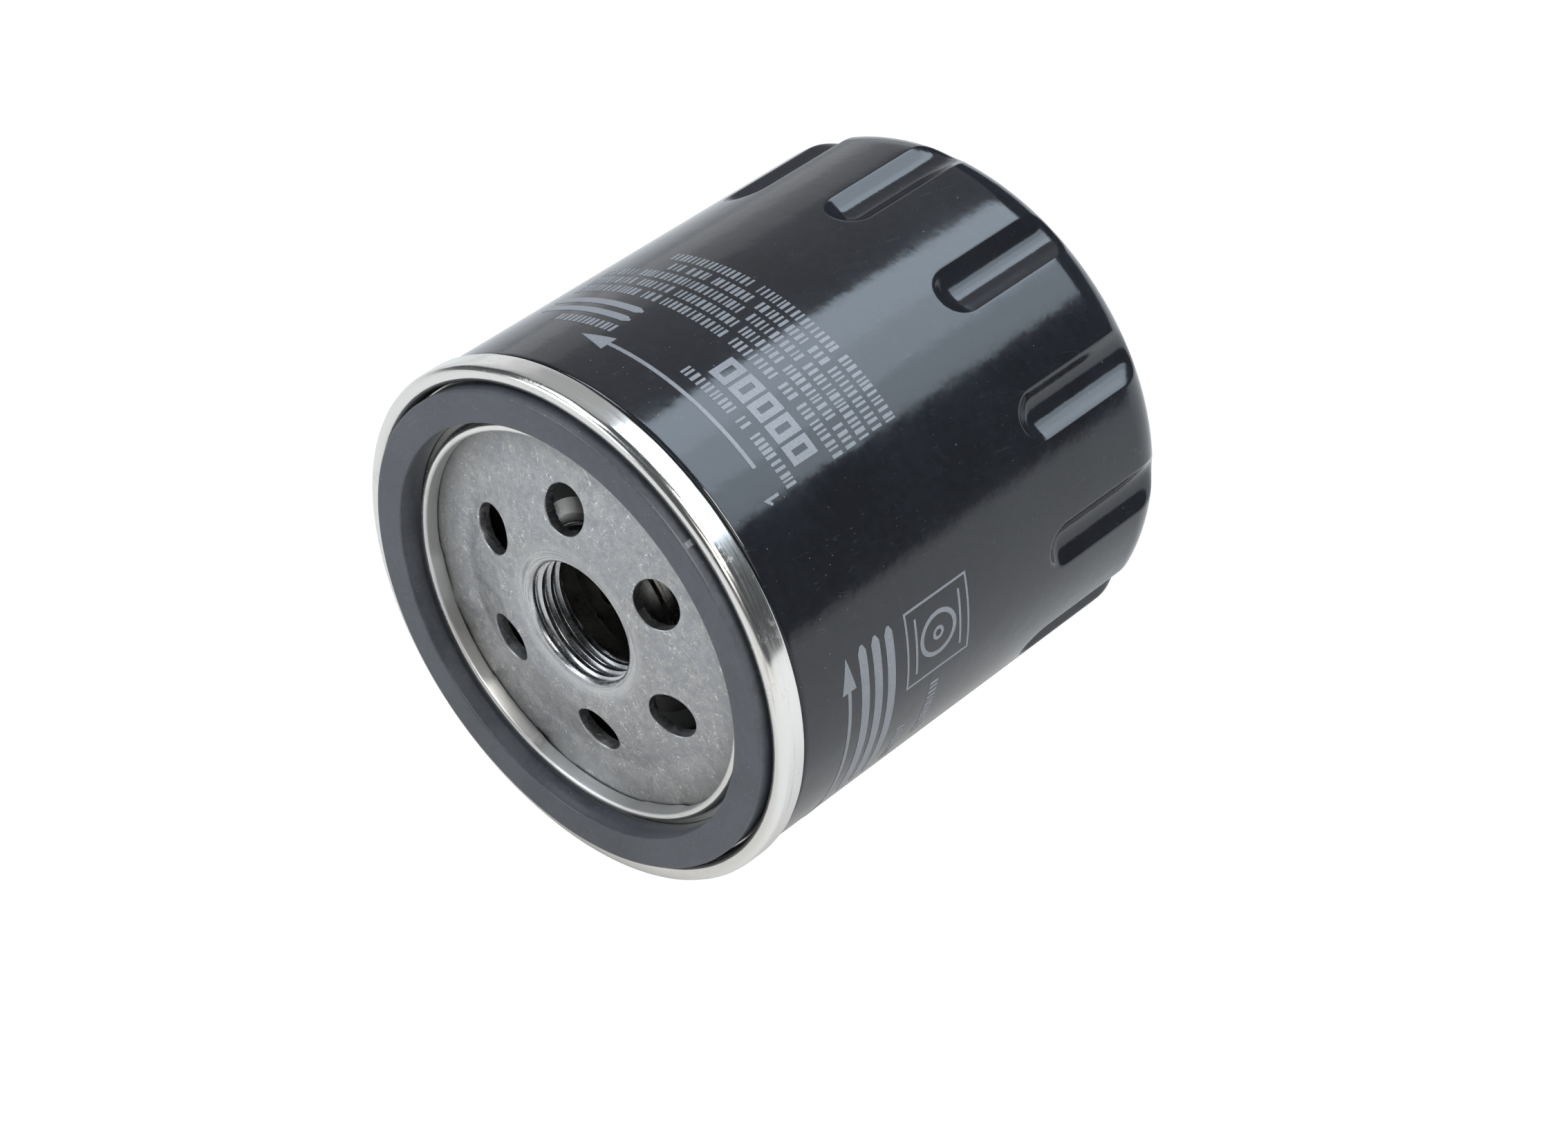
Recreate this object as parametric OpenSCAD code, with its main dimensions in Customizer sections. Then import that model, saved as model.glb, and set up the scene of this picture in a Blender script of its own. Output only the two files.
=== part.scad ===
// Spin-on oil filter for a small engine, lying on its side.
// The filter's axis is +Y: the threaded, open end faces -Y and the closed end faces +Y.
// The origin is the centre of the stud thread's mouth, on the tapping plate's outer face.
// Every profile is drawn as (radius, height), with the height running along +Y from the origin.

/* [Can] */
// Outside diameter of the can's straight wall
can_d = 75.2; // [75:0.1:76]
// Length from the gasket's sealing face to the closed end
overall_length = 80.6; // [79:0.2:92]
// Sheet thickness of the can
can_wall = 0.5; // [0.4:0.05:0.7]
// Radius of the can's corner at the closed end
can_corner_r = 7.7; // [6:0.1:9]

/* [Grip flutes] */
// Number of flutes that a cap wrench grips
flute_count = 12; // [8:1:15]
// Width of a flute at the can's surface
flute_width = 6.8; // [5:0.1:8]
// Depth of a flute below the can's surface
flute_depth = 1.8; // [1:0.1:2.2]
// Distance from a flute's round end to the closed end
flute_run = 26.2; // [20:0.2:32]
// Turn of the first flute from +X towards +Z
flute_phase = 2.7; // [0:0.1:30]

/* [Open end] */
// Outside diameter of the gasket
gasket_od = 70.8; // [70:0.1:71]
// Inside diameter of the gasket
gasket_id = 61.6; // [60:0.1:63]
// Height of the gasket's sealing face above the thread's mouth
gasket_rise = 2.8; // [2.2:0.1:3.2]
// Outside diameter of the rolled seam
seam_od = 76.6; // [76.5:0.1:77]
// Height of the rolled seam
seam_height = 4.1; // [3.9:0.1:4.5]
// Inside diameter of the seaming lid
lid_id = 56.8; // [55:0.2:58]

/* [Tapping plate] */
// Minor diameter of the stud thread (3/4-16 UNF)
thread_minor_d = 17.5; // [17.4:0.05:17.6]
// Length of the threaded collar
thread_length = 6.0; // [5.5:0.1:6.2]
// Thickness of the plate
plate_wall = 1.8; // [1.6:0.1:2]
// Slope of the plate's dished part, which carries the inlet holes
plate_slope = 13.7; // [12:0.1:15]
// Number of inlet holes
inlet_count = 6; // [4:1:8]
// Diameter of an inlet hole
inlet_d = 7.2; // [6:0.1:7.6]
// Diameter of the circle of inlet holes
inlet_circle_d = 35.3; // [35:0.1:35.6]
// Turn of the first inlet hole from +X towards +Z
inlet_phase = 37.9; // [0:0.1:60]

/* [Element] */
// Outside radius of the pleated paper
media_ro = 30.4; // [29:0.2:30.6]
// Inside radius of the pleated paper
media_ri = 14.4; // [14:0.2:16]
// Number of pleats
pleat_count = 54; // [36:1:60]
// Thickness of the paper as drawn
paper_wall = 0.5; // [0.3:0.1:0.6]
// Length of the element between its two end caps
element_length = 51; // [46:0.5:52]
// Rings of holes in the centre tube
tube_hole_rings = 5; // [3:1:6]
// Holes in one ring of the centre tube
tube_holes_per_ring = 8; // [6:1:10]

/* [Hidden] */
$fn = 96;

can_r = can_d / 2;
can_end = overall_length - gasket_rise;
seam_r = seam_od / 2;
seam_top = -1.6;
seam_bottom = seam_top + seam_height;
seam_layer = 0.48;
seam_gap = 0.03;
seam_inner_r = seam_r - 5 * seam_layer;
seam_edge = 0.5;
floor_top = 1.2;
floor_bottom = 1.9;
lid_upstand = -0.45;
upstand_wall = 1.2;
dish_r = 22.4;
plate_edge_r = 35.2;
thread_r = thread_minor_d / 2;
collar_r = thread_r + 2.2;
clearance = 0.3;

cap_wall = 0.5;
lower_cap = 10;
adhesive_depth = 1.5;
upper_cap = lower_cap + cap_wall + element_length;
element_r = media_ro + 1;
neck_r = 11.9;
tube_r = 13.5;
tube_hole_d = 4.2;

throat_r = 6;
seat_edge = upper_cap - 2;
valve_r = 8.2;
seal_top = seat_edge - clearance;
seal_wall = 0.8;
disc_top = seal_top - seal_wall;
disc_wall = 0.8;
cage_floor = upper_cap - 12;
cage_r = 10.6;
cage_wall = 0.8;
bypass_wire = 0.8;
hold_down_wire = 2.0;
seat_ring_wall = 0.8;

// Inner and outer radius of one of the seam's five rolled layers, counted from the inside.
function layer_in(i) = seam_inner_r + i * seam_layer + seam_gap;
function layer_out(i) = seam_inner_r + (i + 1) * seam_layer - seam_gap;

// Lays a shape drawn along +Z down along +Y.
module along_y() { rotate([-90, 0, 0]) children(); }

// Turns a shape drawn along +X to an angle measured from +X towards +Z, as seen after along_y().
module turned(angle) { rotate([0, 0, -angle]) children(); }

module tube(ro, ri, from, to) {
    translate([0, 0, from]) difference() {
        cylinder(h = to - from, r = ro);
        translate([0, 0, -1]) cylinder(h = to - from + 2, r = ri);
    }
}

// A closed round end: a cylinder from z = from to the can's end, with a rounded corner.
module cup(inset, from) {
    r = can_r - inset;
    top = can_end - inset;
    corner = can_corner_r - inset;
    rotate_extrude() union() {
        translate([0, from]) square([r, top - corner - from]);
        translate([0, from]) square([r - corner, top - from]);
        translate([r - corner, top - corner]) intersection() {
            circle(corner);
            square(corner);
        }
    }
}

// The flutes, as round-ended bars that cut into the wall, grown by the wall's own thickness for its inner face.
module flute_bars(grow) {
    bar_r = (pow(flute_width / 2, 2) + pow(flute_depth, 2)) / (2 * flute_depth);
    axis_r = can_r - flute_depth + bar_r;
    start = can_end - flute_run + flute_width / 2;
    for (i = [0 : flute_count - 1]) turned(flute_phase + i * 360 / flute_count)
        translate([axis_r, 0, start]) {
            cylinder(h = flute_run, r = bar_r + grow, $fn = 48);
            sphere(r = bar_r + grow, $fn = 48);
        }
}

// The can: a deep-drawn shell whose open edge is hooked into the lid's seam.
module can() {
    shell_from = seam_bottom + 4;
    hook_top = seam_top + 2 * seam_gap + seam_layer;
    neck = seam_bottom + 0.1;
    color([0.06, 0.065, 0.075]) along_y() {
        difference() {
            difference() {
                cup(0, shell_from);
                flute_bars(0);
            }
            difference() {
                cup(can_wall, shell_from - 1);
                flute_bars(can_wall);
            }
        }
        rotate_extrude() polygon([
            [layer_out(3), seam_bottom - 1.5], [layer_out(3), hook_top],
            [layer_in(1), hook_top], [layer_in(1), neck + 0.2],
            [can_r - can_wall, neck + 0.9], [can_r - can_wall, shell_from],
            [can_r, shell_from], [can_r, neck + 0.6], [layer_out(1), neck],
            [layer_out(1), hook_top + seam_layer], [layer_in(3), hook_top + seam_layer],
            [layer_in(3), seam_bottom - 1.5]]);
    }
}

// The lid: the gasket's channel, an upstand inside it, and the curl that closes the seam.
module seaming_lid() {
    lid_r = lid_id / 2;
    curl_floor = seam_bottom - seam_layer;
    color([0.8, 0.8, 0.78]) along_y() rotate_extrude() polygon([
        [lid_r, lid_upstand], [lid_r + upstand_wall, lid_upstand], [lid_r + upstand_wall, floor_top],
        [layer_in(0), floor_top], [layer_in(0), seam_top + seam_edge], [layer_in(0) + seam_edge, seam_top],
        [seam_r - seam_edge, seam_top], [seam_r, seam_top + seam_edge],
        [seam_r, seam_bottom - seam_edge], [seam_r - seam_edge, seam_bottom],
        [layer_in(2), seam_bottom], [layer_in(2), seam_top + 1.6],
        [layer_out(2), seam_top + 1.6], [layer_out(2), curl_floor],
        [layer_in(4), curl_floor], [layer_in(4), seam_top + seam_layer],
        [layer_out(0), seam_top + seam_layer], [layer_out(0), floor_bottom], [lid_r, floor_bottom]]);
}

// The bead of sealing compound between the lid's hook and the can's hook.
module seam_compound() {
    color([0.75, 0.7, 0.6]) along_y()
        tube(layer_out(2), layer_in(2), seam_top + 1.1, seam_top + 1.5);
}

// The square-section sealing ring that stands proud of the seam.
module gasket() {
    color([0.2, 0.21, 0.22]) along_y()
        tube(gasket_od / 2, gasket_id / 2, -gasket_rise, floor_top);
}

// The thick plate that carries the threaded collar and the inlet holes. It is flat round the mouth, then
// falls away like a cone to its flat rim; the inlet holes are punched square to the cone.
module tapping_plate() {
    fall = tan(plate_slope);
    edge = floor_bottom;
    shoulder = dish_r - edge / fall;
    back = plate_wall * tan(plate_slope / 2);
    inner = plate_wall;
    color([0.6, 0.6, 0.61]) along_y() difference() {
        rotate_extrude() polygon([
            [thread_r, 0], [shoulder - 1, 0], [shoulder + 1, fall], [dish_r - 1, edge - fall], [dish_r + 1, edge],
            [plate_edge_r, edge], [plate_edge_r, edge + plate_wall], [dish_r - back + 1, edge + plate_wall],
            [dish_r - back - 1, edge + plate_wall - fall], [shoulder - back + 1, inner + fall],
            [shoulder - back - 1, inner], [collar_r + 0.8, inner], [collar_r, inner + 0.8],
            [collar_r, thread_length], [thread_r, thread_length]]);
        for (i = [0 : inlet_count - 1]) turned(inlet_phase + i * 360 / inlet_count)
            translate([inlet_circle_d / 2, 0, (inlet_circle_d / 2 - shoulder) * fall])
            rotate([0, -plate_slope, 0]) translate([0, 0, -4]) cylinder(h = 10, d = inlet_d);
    }
}

// The pressed ring that clamps the rubber valve onto the end cap's neck.
module drainback_clamp_ring() {
    color([0.62, 0.62, 0.6]) along_y() rotate_extrude() polygon([
        [neck_r + 0.05, 6.6], [13.2, 6.7], [15, 7.4], [17.2, 7.8],
        [17.2, 8.4], [15, 8.0], [13, 7.3], [neck_r + 0.05, 7.2]]);
}

// The clamped middle of the rubber drainback valve.
module drainback_hub() {
    color([0.07, 0.07, 0.07]) along_y() rotate_extrude() polygon([
        [neck_r + 0.05, 8.45], [17.4, 8.45], [19.6, 7.4], [19.6, 8.6], [17.4, 9.7], [neck_r + 0.05, 9.9]]);
}

// The valve's free skirt, which covers the inlet holes and rests by the plate's rim.
module drainback_lip() {
    seat = floor_bottom + plate_wall + clearance;
    color([0.07, 0.07, 0.07]) along_y() rotate_extrude() polygon([
        [19.9, 7.25], [26.4, seat], [28.2, seat], [28.2, seat + 0.7], [26.9, seat + 1], [19.9, 8.45]]);
}

// Lower end cap of the element, with the neck that seats on the plate's collar.
module lower_end_cap() {
    top = lower_cap + cap_wall;
    color([0.62, 0.62, 0.6]) along_y() rotate_extrude() polygon([
        [neck_r, thread_length + clearance], [neck_r, lower_cap], [element_r, lower_cap],
        [element_r, lower_cap + 4], [element_r - cap_wall, lower_cap + 4],
        [element_r - cap_wall, top], [neck_r - cap_wall, top], [neck_r - cap_wall, thread_length + clearance]]);
}

module adhesive_ring(from) {
    tube(element_r - cap_wall - 0.02, tube_r + 0.05, from, from + adhesive_depth);
}

// The bead that bonds the paper to the lower end cap.
module lower_adhesive() {
    color([0.35, 0.33, 0.3]) along_y() adhesive_ring(lower_cap + cap_wall);
}

// The bead that bonds the paper to the upper end cap.
module upper_adhesive() {
    color([0.35, 0.33, 0.3]) along_y() adhesive_ring(upper_cap - adhesive_depth);
}

// The pleated paper: a star-shaped ring of one folded sheet.
module pleated_media() {
    step = 180 / pleat_count;
    function star(ri, ro) = [for (i = [0 : 2 * pleat_count - 1])
        let (r = i % 2 == 0 ? ro : ri) [r * cos(i * step), r * sin(i * step)]];
    color([0.85, 0.76, 0.55]) along_y()
        translate([0, 0, lower_cap + cap_wall + adhesive_depth])
        linear_extrude(element_length - 2 * adhesive_depth) difference() {
            polygon(star(media_ri + 3 * paper_wall, media_ro));
            polygon(star(media_ri, media_ro - 3 * paper_wall));
        }
}

// The metal strip folded over the paper's two ends.
module media_seam_clip() {
    length = element_length - 2 * adhesive_depth - 1;
    half = 180 / pleat_count;
    color([0.66, 0.66, 0.64]) along_y() turned(half)
        translate([media_ri + 4, -0.25, lower_cap + cap_wall + adhesive_depth + 0.5])
        cube([6, 0.5, length]);
}

// Upper end cap of the element, open in the middle for the bypass valve.
module upper_end_cap() {
    color([0.62, 0.62, 0.6]) along_y() rotate_extrude() polygon([
        [throat_r + 0.65, upper_cap], [element_r - cap_wall, upper_cap],
        [element_r - cap_wall, upper_cap - 4], [element_r, upper_cap - 4],
        [element_r, upper_cap + cap_wall], [throat_r + 0.65, upper_cap + cap_wall]]);
}

// The perforated tube that keeps the paper from collapsing.
module centre_tube() {
    from = lower_cap + cap_wall;
    pitch = element_length / tube_hole_rings;
    color([0.7, 0.7, 0.68]) along_y() difference() {
        tube(tube_r, tube_r - cap_wall, from, upper_cap);
        for (ring = [0 : tube_hole_rings - 1], i = [0 : tube_holes_per_ring - 1])
            rotate([0, 0, (i + (ring % 2) / 2) * 360 / tube_holes_per_ring])
                translate([tube_r - 2, 0, from + (ring + 0.5) * pitch])
                rotate([0, 90, 0]) cylinder(h = 4, d = tube_hole_d, $fn = 32);
    }
}

// The flanged throat of the bypass valve; the rubber face closes against its inner edge.
module bypass_seat() {
    flange = upper_cap + cap_wall;
    color([0.66, 0.66, 0.64]) along_y() rotate_extrude() polygon([
        [throat_r, seat_edge], [throat_r + 0.6, seat_edge], [throat_r + 0.6, flange + 0.02],
        [11.4, flange + 0.02], [11.4, flange + 0.62], [throat_r, flange + 0.62]]);
}

// The rubber face of the bypass valve.
module bypass_seal() {
    color([0.08, 0.08, 0.08]) along_y() tube(valve_r - 0.2, 2, disc_top, seal_top);
}

// The steel disc that carries the rubber face, with the stem that centres the spring.
module bypass_disc() {
    color([0.7, 0.7, 0.7]) along_y() {
        translate([0, 0, disc_top - disc_wall]) cylinder(h = disc_wall, r = valve_r);
        translate([0, 0, disc_top - 0.4]) cylinder(h = seal_wall + 0.6, r = 1.95);
        tube(4, 3.4, disc_top - 2.4, disc_top - 0.4);
    }
}

// A round-wire compression spring: a ring of points swept along a helix.
module coil(radius, wire, from, to, turns) {
    sides = 8;
    steps = 18;
    count = turns * steps;
    rise = to - from - wire;
    points = [for (i = [0 : count], k = [0 : sides - 1])
        let (a = i * 360 / steps, b = k * 360 / sides, r = radius + wire / 2 * cos(b))
        [r * cos(a), r * sin(a), from + wire / 2 + rise * i / count + wire / 2 * sin(b)]];
    walls = [for (i = [0 : count - 1], k = [0 : sides - 1])
        [i * sides + k, i * sides + (k + 1) % sides,
         (i + 1) * sides + (k + 1) % sides, (i + 1) * sides + k]];
    ends = [[for (k = [sides - 1 : -1 : 0]) k], [for (k = [0 : sides - 1]) count * sides + k]];
    polyhedron(points, concat(walls, ends));
}

// The bypass valve's spring.
module bypass_spring() {
    color([0.6, 0.6, 0.62]) along_y()
        coil(5.4, bypass_wire, cage_floor + cage_wall, disc_top - disc_wall, 4);
}

// The three-legged cage that holds the bypass spring.
module bypass_cage() {
    color([0.66, 0.66, 0.64]) along_y() {
        tube(cage_r, 2.5, cage_floor, cage_floor + cage_wall);
        for (i = [0 : 2]) turned(30 + i * 120)
            translate([cage_r - 1.4, -2, cage_floor]) cube([0.8, 4, upper_cap - cage_floor]);
    }
}

// The ring that centres the hold-down spring on the element.
module spring_seat() {
    from = upper_cap + cap_wall + 0.02;
    color([0.66, 0.66, 0.64]) along_y() {
        tube(17, 11.6, from, from + seat_ring_wall);
        tube(17, 16.2, from + seat_ring_wall / 2, from + 2.4);
    }
}

// The spring that presses the element onto the tapping plate's collar.
module hold_down_spring() {
    from = upper_cap + cap_wall + 0.02 + seat_ring_wall;
    color([0.5, 0.5, 0.52]) along_y()
        coil(14, hold_down_wire, from + 0.02, can_end - can_wall - 0.02, 3);
}

can();
seaming_lid();
seam_compound();
gasket();
tapping_plate();
drainback_clamp_ring();
drainback_hub();
drainback_lip();
lower_end_cap();
lower_adhesive();
pleated_media();
media_seam_clip();
upper_adhesive();
upper_end_cap();
centre_tube();
bypass_seat();
bypass_seal();
bypass_disc();
bypass_spring();
bypass_cage();
spring_seat();
hold_down_spring();
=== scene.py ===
"""The looks of a spin-on oil filter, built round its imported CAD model.

Lengths are millimetres, and MM turns them into Blender's metres. The filter's axis is Y: the threaded, open
end faces -Y. A place round the axis is an angle from +X towards +Z. Every surface is a grid of points worked
out by a formula, and the grids of a piece are welded where their points meet.
"""

import math

import bmesh
import bpy
import numpy as np
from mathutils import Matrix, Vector


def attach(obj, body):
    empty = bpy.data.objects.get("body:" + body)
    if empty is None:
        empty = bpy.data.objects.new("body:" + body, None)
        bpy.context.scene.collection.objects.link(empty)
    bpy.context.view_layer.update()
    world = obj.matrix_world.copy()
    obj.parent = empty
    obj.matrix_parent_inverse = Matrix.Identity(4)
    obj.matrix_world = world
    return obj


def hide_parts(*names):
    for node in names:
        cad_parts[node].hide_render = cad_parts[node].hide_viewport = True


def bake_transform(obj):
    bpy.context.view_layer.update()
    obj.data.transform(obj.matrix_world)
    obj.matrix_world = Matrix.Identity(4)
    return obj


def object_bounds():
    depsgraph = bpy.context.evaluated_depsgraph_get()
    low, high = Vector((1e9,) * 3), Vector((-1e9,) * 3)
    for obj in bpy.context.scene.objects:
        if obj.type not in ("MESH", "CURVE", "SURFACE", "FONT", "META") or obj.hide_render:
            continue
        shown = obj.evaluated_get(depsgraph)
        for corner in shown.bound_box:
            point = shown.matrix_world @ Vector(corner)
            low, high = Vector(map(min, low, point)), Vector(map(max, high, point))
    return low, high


MM = 0.001
TURN = 2 * math.pi

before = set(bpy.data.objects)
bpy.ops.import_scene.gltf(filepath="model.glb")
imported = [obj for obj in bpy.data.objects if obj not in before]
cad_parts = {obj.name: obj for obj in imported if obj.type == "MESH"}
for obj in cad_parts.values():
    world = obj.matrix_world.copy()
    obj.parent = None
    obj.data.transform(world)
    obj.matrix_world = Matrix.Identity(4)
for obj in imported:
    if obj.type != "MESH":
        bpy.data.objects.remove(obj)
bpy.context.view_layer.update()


# ---------------------------------------------------------------- measures


def extent(node):
    """Inner radius, outer radius, first and last height along Y of a CAD node, in mm."""
    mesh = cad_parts[node].data
    flat = np.zeros(len(mesh.vertices) * 3)
    mesh.vertices.foreach_get("co", flat)
    x, y, z = flat.reshape(-1, 3).T / MM
    radius = np.hypot(x, z)
    return radius.min(), radius.max(), y.min(), y.max()


CAN_R, CAN_END = extent("can")[1::2]
LID_IN, SEAM_R, SEAM_TOP, SEAM_END = extent("seaming_lid")
GASKET_IN, GASKET_OUT, GASKET_FACE, GASKET_BACK = extent("gasket")
THREAD_R, PLATE_R, MOUTH, COLLAR_END = extent("tapping_plate")

CAN_WALL = 0.5
CORNER = 7.7
FLUTES = 12
FLUTE_TURN = math.radians(2.7)
FLUTE_WIDTH = 6.8
FLUTE_DEPTH = 1.8
FLUTE_RUN = 26.2
FLUTE_EDGE = 1.1
SEAM_LAYER = 0.48
SEAM_IN = SEAM_R - 5 * SEAM_LAYER
LID_WALL = 0.7
UPSTAND = 1.2
LID_FLOOR = GASKET_BACK
PLATE_WALL = 1.8
PLATE_SLOPE = math.radians(13.7)
DISH_R = 22.4
SHOULDER_R = DISH_R - (LID_FLOOR + LID_WALL) / math.tan(PLATE_SLOPE)
INLETS = 6
INLET_R = 3.6
INLET_CIRCLE = 17.65
INLET_TURN = math.radians(37.9)
THREAD_ROOT = 9.525
MOUTH_R = THREAD_R + 0.25
PITCH = 25.4 / 16


# ---------------------------------------------------------------- meshes


def turned(profile, angles):
    """A profile of (radius, height) points carried round Y to each angle: one row for each point."""
    radius, height = np.asarray(profile, float).T
    return around(radius[:, None], height[:, None], np.asarray(angles)[None, :])


def around(radius, height, angle):
    """Points at a radius, a height along Y and an angle from +X towards +Z, as one array."""
    radius, height, angle = np.broadcast_arrays(radius, height, angle)
    return np.stack([radius * np.cos(angle), height, radius * np.sin(angle)], -1)


def full_turn(count):
    """Evenly spaced angles round the axis, the last equal to the first so that the weld closes the ring."""
    return np.linspace(0, TURN, count + 1)


def rounded(corners, closed=True, steps=7):
    """An outline through (radius, height, rounding) corners. Each corner becomes the arc of that radius that
    touches both of its sides, shortened where a side has no room for it."""
    place = np.array([c[:2] for c in corners], float)
    count = len(corners)
    parts = []
    for k, (_, _, rounding) in enumerate(corners):
        here = place[k]
        if rounding <= 0 or (not closed and k in (0, count - 1)):
            parts.append(here[None])
            continue
        back, ahead = place[k - 1] - here, place[(k + 1) % count] - here
        room = 0.48 * min(np.linalg.norm(back), np.linalg.norm(ahead))
        back, ahead = back / np.linalg.norm(back), ahead / np.linalg.norm(ahead)
        half = math.acos(np.clip(back @ ahead, -1, 1)) / 2
        reach = min(rounding / math.tan(half), room)
        centre = here + (back + ahead) / np.linalg.norm(back + ahead) * reach / math.cos(half)
        first, last = here + back * reach - centre, here + ahead * reach - centre
        sweep = math.pi - 2 * half
        t = np.linspace(0, 1, steps)[:, None]
        parts.append(centre + (np.sin((1 - t) * sweep) * first + np.sin(t * sweep) * last) / math.sin(sweep))
    return np.concatenate(parts)


def subdivided(outline, spacing, closed=True):
    """The outline with points added so that no side is longer than spacing."""
    ends = np.roll(outline, -1, 0) if closed else outline[1:]
    starts = outline if closed else outline[:-1]
    parts = []
    for start, end in zip(starts, ends):
        count = max(1, math.ceil(np.linalg.norm(end - start) / spacing))
        parts.append(start + (end - start) * np.arange(count)[:, None] / count)
    if not closed:
        parts.append(outline[-1:])
    return np.concatenate(parts)


def looped(outline):
    """A closed outline with its first point repeated at the end."""
    return np.concatenate([outline, outline[:1]])


def tube(path, radius, sides, normal):
    """Rings of points round a path: each ring lies across the path, starting from the given normals."""
    along = np.gradient(path, axis=0)
    along /= np.linalg.norm(along, axis=1, keepdims=True)
    side = normal - along * (normal * along).sum(1, keepdims=True)
    side /= np.linalg.norm(side, axis=1, keepdims=True)
    other = np.cross(along, side)
    angle = full_turn(sides)[None, :, None]
    radius = np.broadcast_to(radius, len(path))[:, None, None]
    return path[:, None] + radius * (np.cos(angle) * side[:, None] + np.sin(angle) * other[:, None])


def capped(rings):
    """A tube's rings with each end closed on its own middle point."""
    first = np.broadcast_to(rings[0, :-1].mean(0), rings[0].shape)
    last = np.broadcast_to(rings[-1, :-1].mean(0), rings[-1].shape)
    return np.concatenate([first[None], rings, last[None]])


def waves(seed, angle, height, count=5, turns=7, rise=0.5):
    """A smooth, closed ripple of about unit size: a sum of sines, each with whole waves round the axis."""
    rng = np.random.default_rng(seed)
    total = np.zeros(np.broadcast_shapes(np.shape(angle), np.shape(height)))
    for _ in range(count):
        total = total + np.sin(rng.integers(1, turns + 1) * angle + rng.uniform(-rise, rise) * height
                               + rng.uniform(0, TURN))
    return total / math.sqrt(count)


def mesh_piece(name, grids, sharp=None):
    """One object from grids of points in mm. Equal points become one vertex, squares that fold up are
    dropped, the faces are turned outwards, and edges bent more than sharp degrees stay crisp."""
    points, faces, start = [], [], 0
    for grid in grids:
        rows, columns = grid.shape[:2]
        i, j = np.meshgrid(np.arange(rows - 1), np.arange(columns - 1), indexing="ij")
        corner = start + i * columns + j
        square = np.stack([corner, corner + 1, corner + columns + 1, corner + columns], -1)
        faces.append(square.reshape(-1, 4))
        points.append(grid.reshape(-1, 3))
        start += rows * columns
    points, faces = np.concatenate(points), np.concatenate(faces)
    spots = np.round(points + 1.37e-5, 4) + 0.0
    _, keep, same = np.unique(spots, axis=0, return_index=True, return_inverse=True)
    points, faces = points[keep], same.reshape(-1)[faces]
    repeats = faces == np.roll(faces, -1, 1)
    squares = faces[~repeats.any(1)]
    once = repeats.sum(1) == 1
    triangles = faces[once][~repeats[once]].reshape(-1, 3)
    mesh = bpy.data.meshes.new(name)
    mesh.vertices.add(len(points))
    mesh.vertices.foreach_set("co", (points * MM).astype(np.float32).ravel())
    mesh.loops.add(squares.size + triangles.size)
    loops = np.concatenate([squares.ravel(), triangles.ravel()])
    mesh.loops.foreach_set("vertex_index", loops.astype(np.int32))
    mesh.polygons.add(len(squares) + len(triangles))
    starts = np.concatenate([np.arange(len(squares)) * 4, squares.size + np.arange(len(triangles)) * 3])
    mesh.polygons.foreach_set("loop_start", starts.astype(np.int32))
    mesh.update(calc_edges=True)
    mesh.validate()
    turn_outwards(mesh)
    mesh.shade_smooth()
    if sharp:
        mesh.set_sharp_from_angle(angle=math.radians(sharp))
    piece = bpy.data.objects.new(name, mesh)
    bpy.context.scene.collection.objects.link(piece)
    return piece


def turn_outwards(mesh):
    """Turns every closed shell of a mesh so that its faces point out."""
    work = bmesh.new()
    work.from_mesh(mesh)
    bmesh.ops.recalc_face_normals(work, faces=work.faces)
    work.to_mesh(mesh)
    work.free()


def finish(piece, body, slot, material, *nodes):
    """Puts a piece on its body, gives it its material, and hides the CAD nodes it stands for. slot is not
    used.
    """
    piece.data.materials.clear()
    piece.data.materials.append(material)
    if body:
        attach(piece, body)
    if nodes:
        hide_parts(*nodes)
    return piece


def repaint(node, material):
    """Gives a CAD node that stays its material."""
    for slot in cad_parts[node].material_slots:
        slot.material = material


# ---------------------------------------------------------------- shader helpers


def add(tree, kind, inputs=None, **settings):
    """A node with its settings. Its inputs are given by name or number, as values or other nodes' outputs."""
    node = tree.nodes.new("ShaderNode" + kind)
    for label, value in settings.items():
        setattr(node, label, value)
    for label, value in (inputs or {}).items():
        socket = node.inputs[label]
        if isinstance(value, bpy.types.NodeSocket):
            tree.links.new(value, socket)
        else:
            socket.default_value = value
    return node


def calc(tree, operation, a, b=0.0, c=0.0):
    """The output of one Math node."""
    return add(tree, "Math", {0: a, 1: b, 2: c}, operation=operation).outputs[0]


def times(tree, a, b):
    return calc(tree, "MULTIPLY", a, b)


def plus(tree, a, b):
    return calc(tree, "ADD", a, b)


def minus(tree, a, b):
    return calc(tree, "SUBTRACT", a, b)


def remap(tree, value, low, high, to_low=0.0, to_high=1.0, smooth=True):
    """A value moved from one range to another, held at the ends."""
    kind = "SMOOTHSTEP" if smooth else "LINEAR"
    inputs = {0: value, 1: low, 2: high, 3: to_low, 4: to_high}
    return add(tree, "MapRange", inputs, interpolation_type=kind).outputs[0]


def mixed(tree, factor, a, b, blend="MIX"):
    """Two colours mixed by a factor."""
    node = add(tree, "Mix", {0: factor, 6: a, 7: b}, data_type="RGBA", blend_type=blend)
    return node.outputs[2]


def noise(tree, vector, scale, detail=3.0, rough=0.55):
    """The value of a noise pattern."""
    inputs = {"Vector": vector, "Scale": scale, "Detail": detail, "Roughness": rough}
    return add(tree, "TexNoise", inputs).outputs[0]


def scaled_by(tree, vector, factor):
    """A vector times a number."""
    return add(tree, "VectorMath", {0: vector, 3: factor}, operation="SCALE").outputs[0]


def seen_directly(tree, behind, ahead):
    """One shader for every other ray, and one for what the camera sees directly."""
    camera = add(tree, "LightPath").outputs["Is Camera Ray"]
    return add(tree, "MixShader", {0: camera, 1: behind, 2: ahead}).outputs[0]


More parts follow.
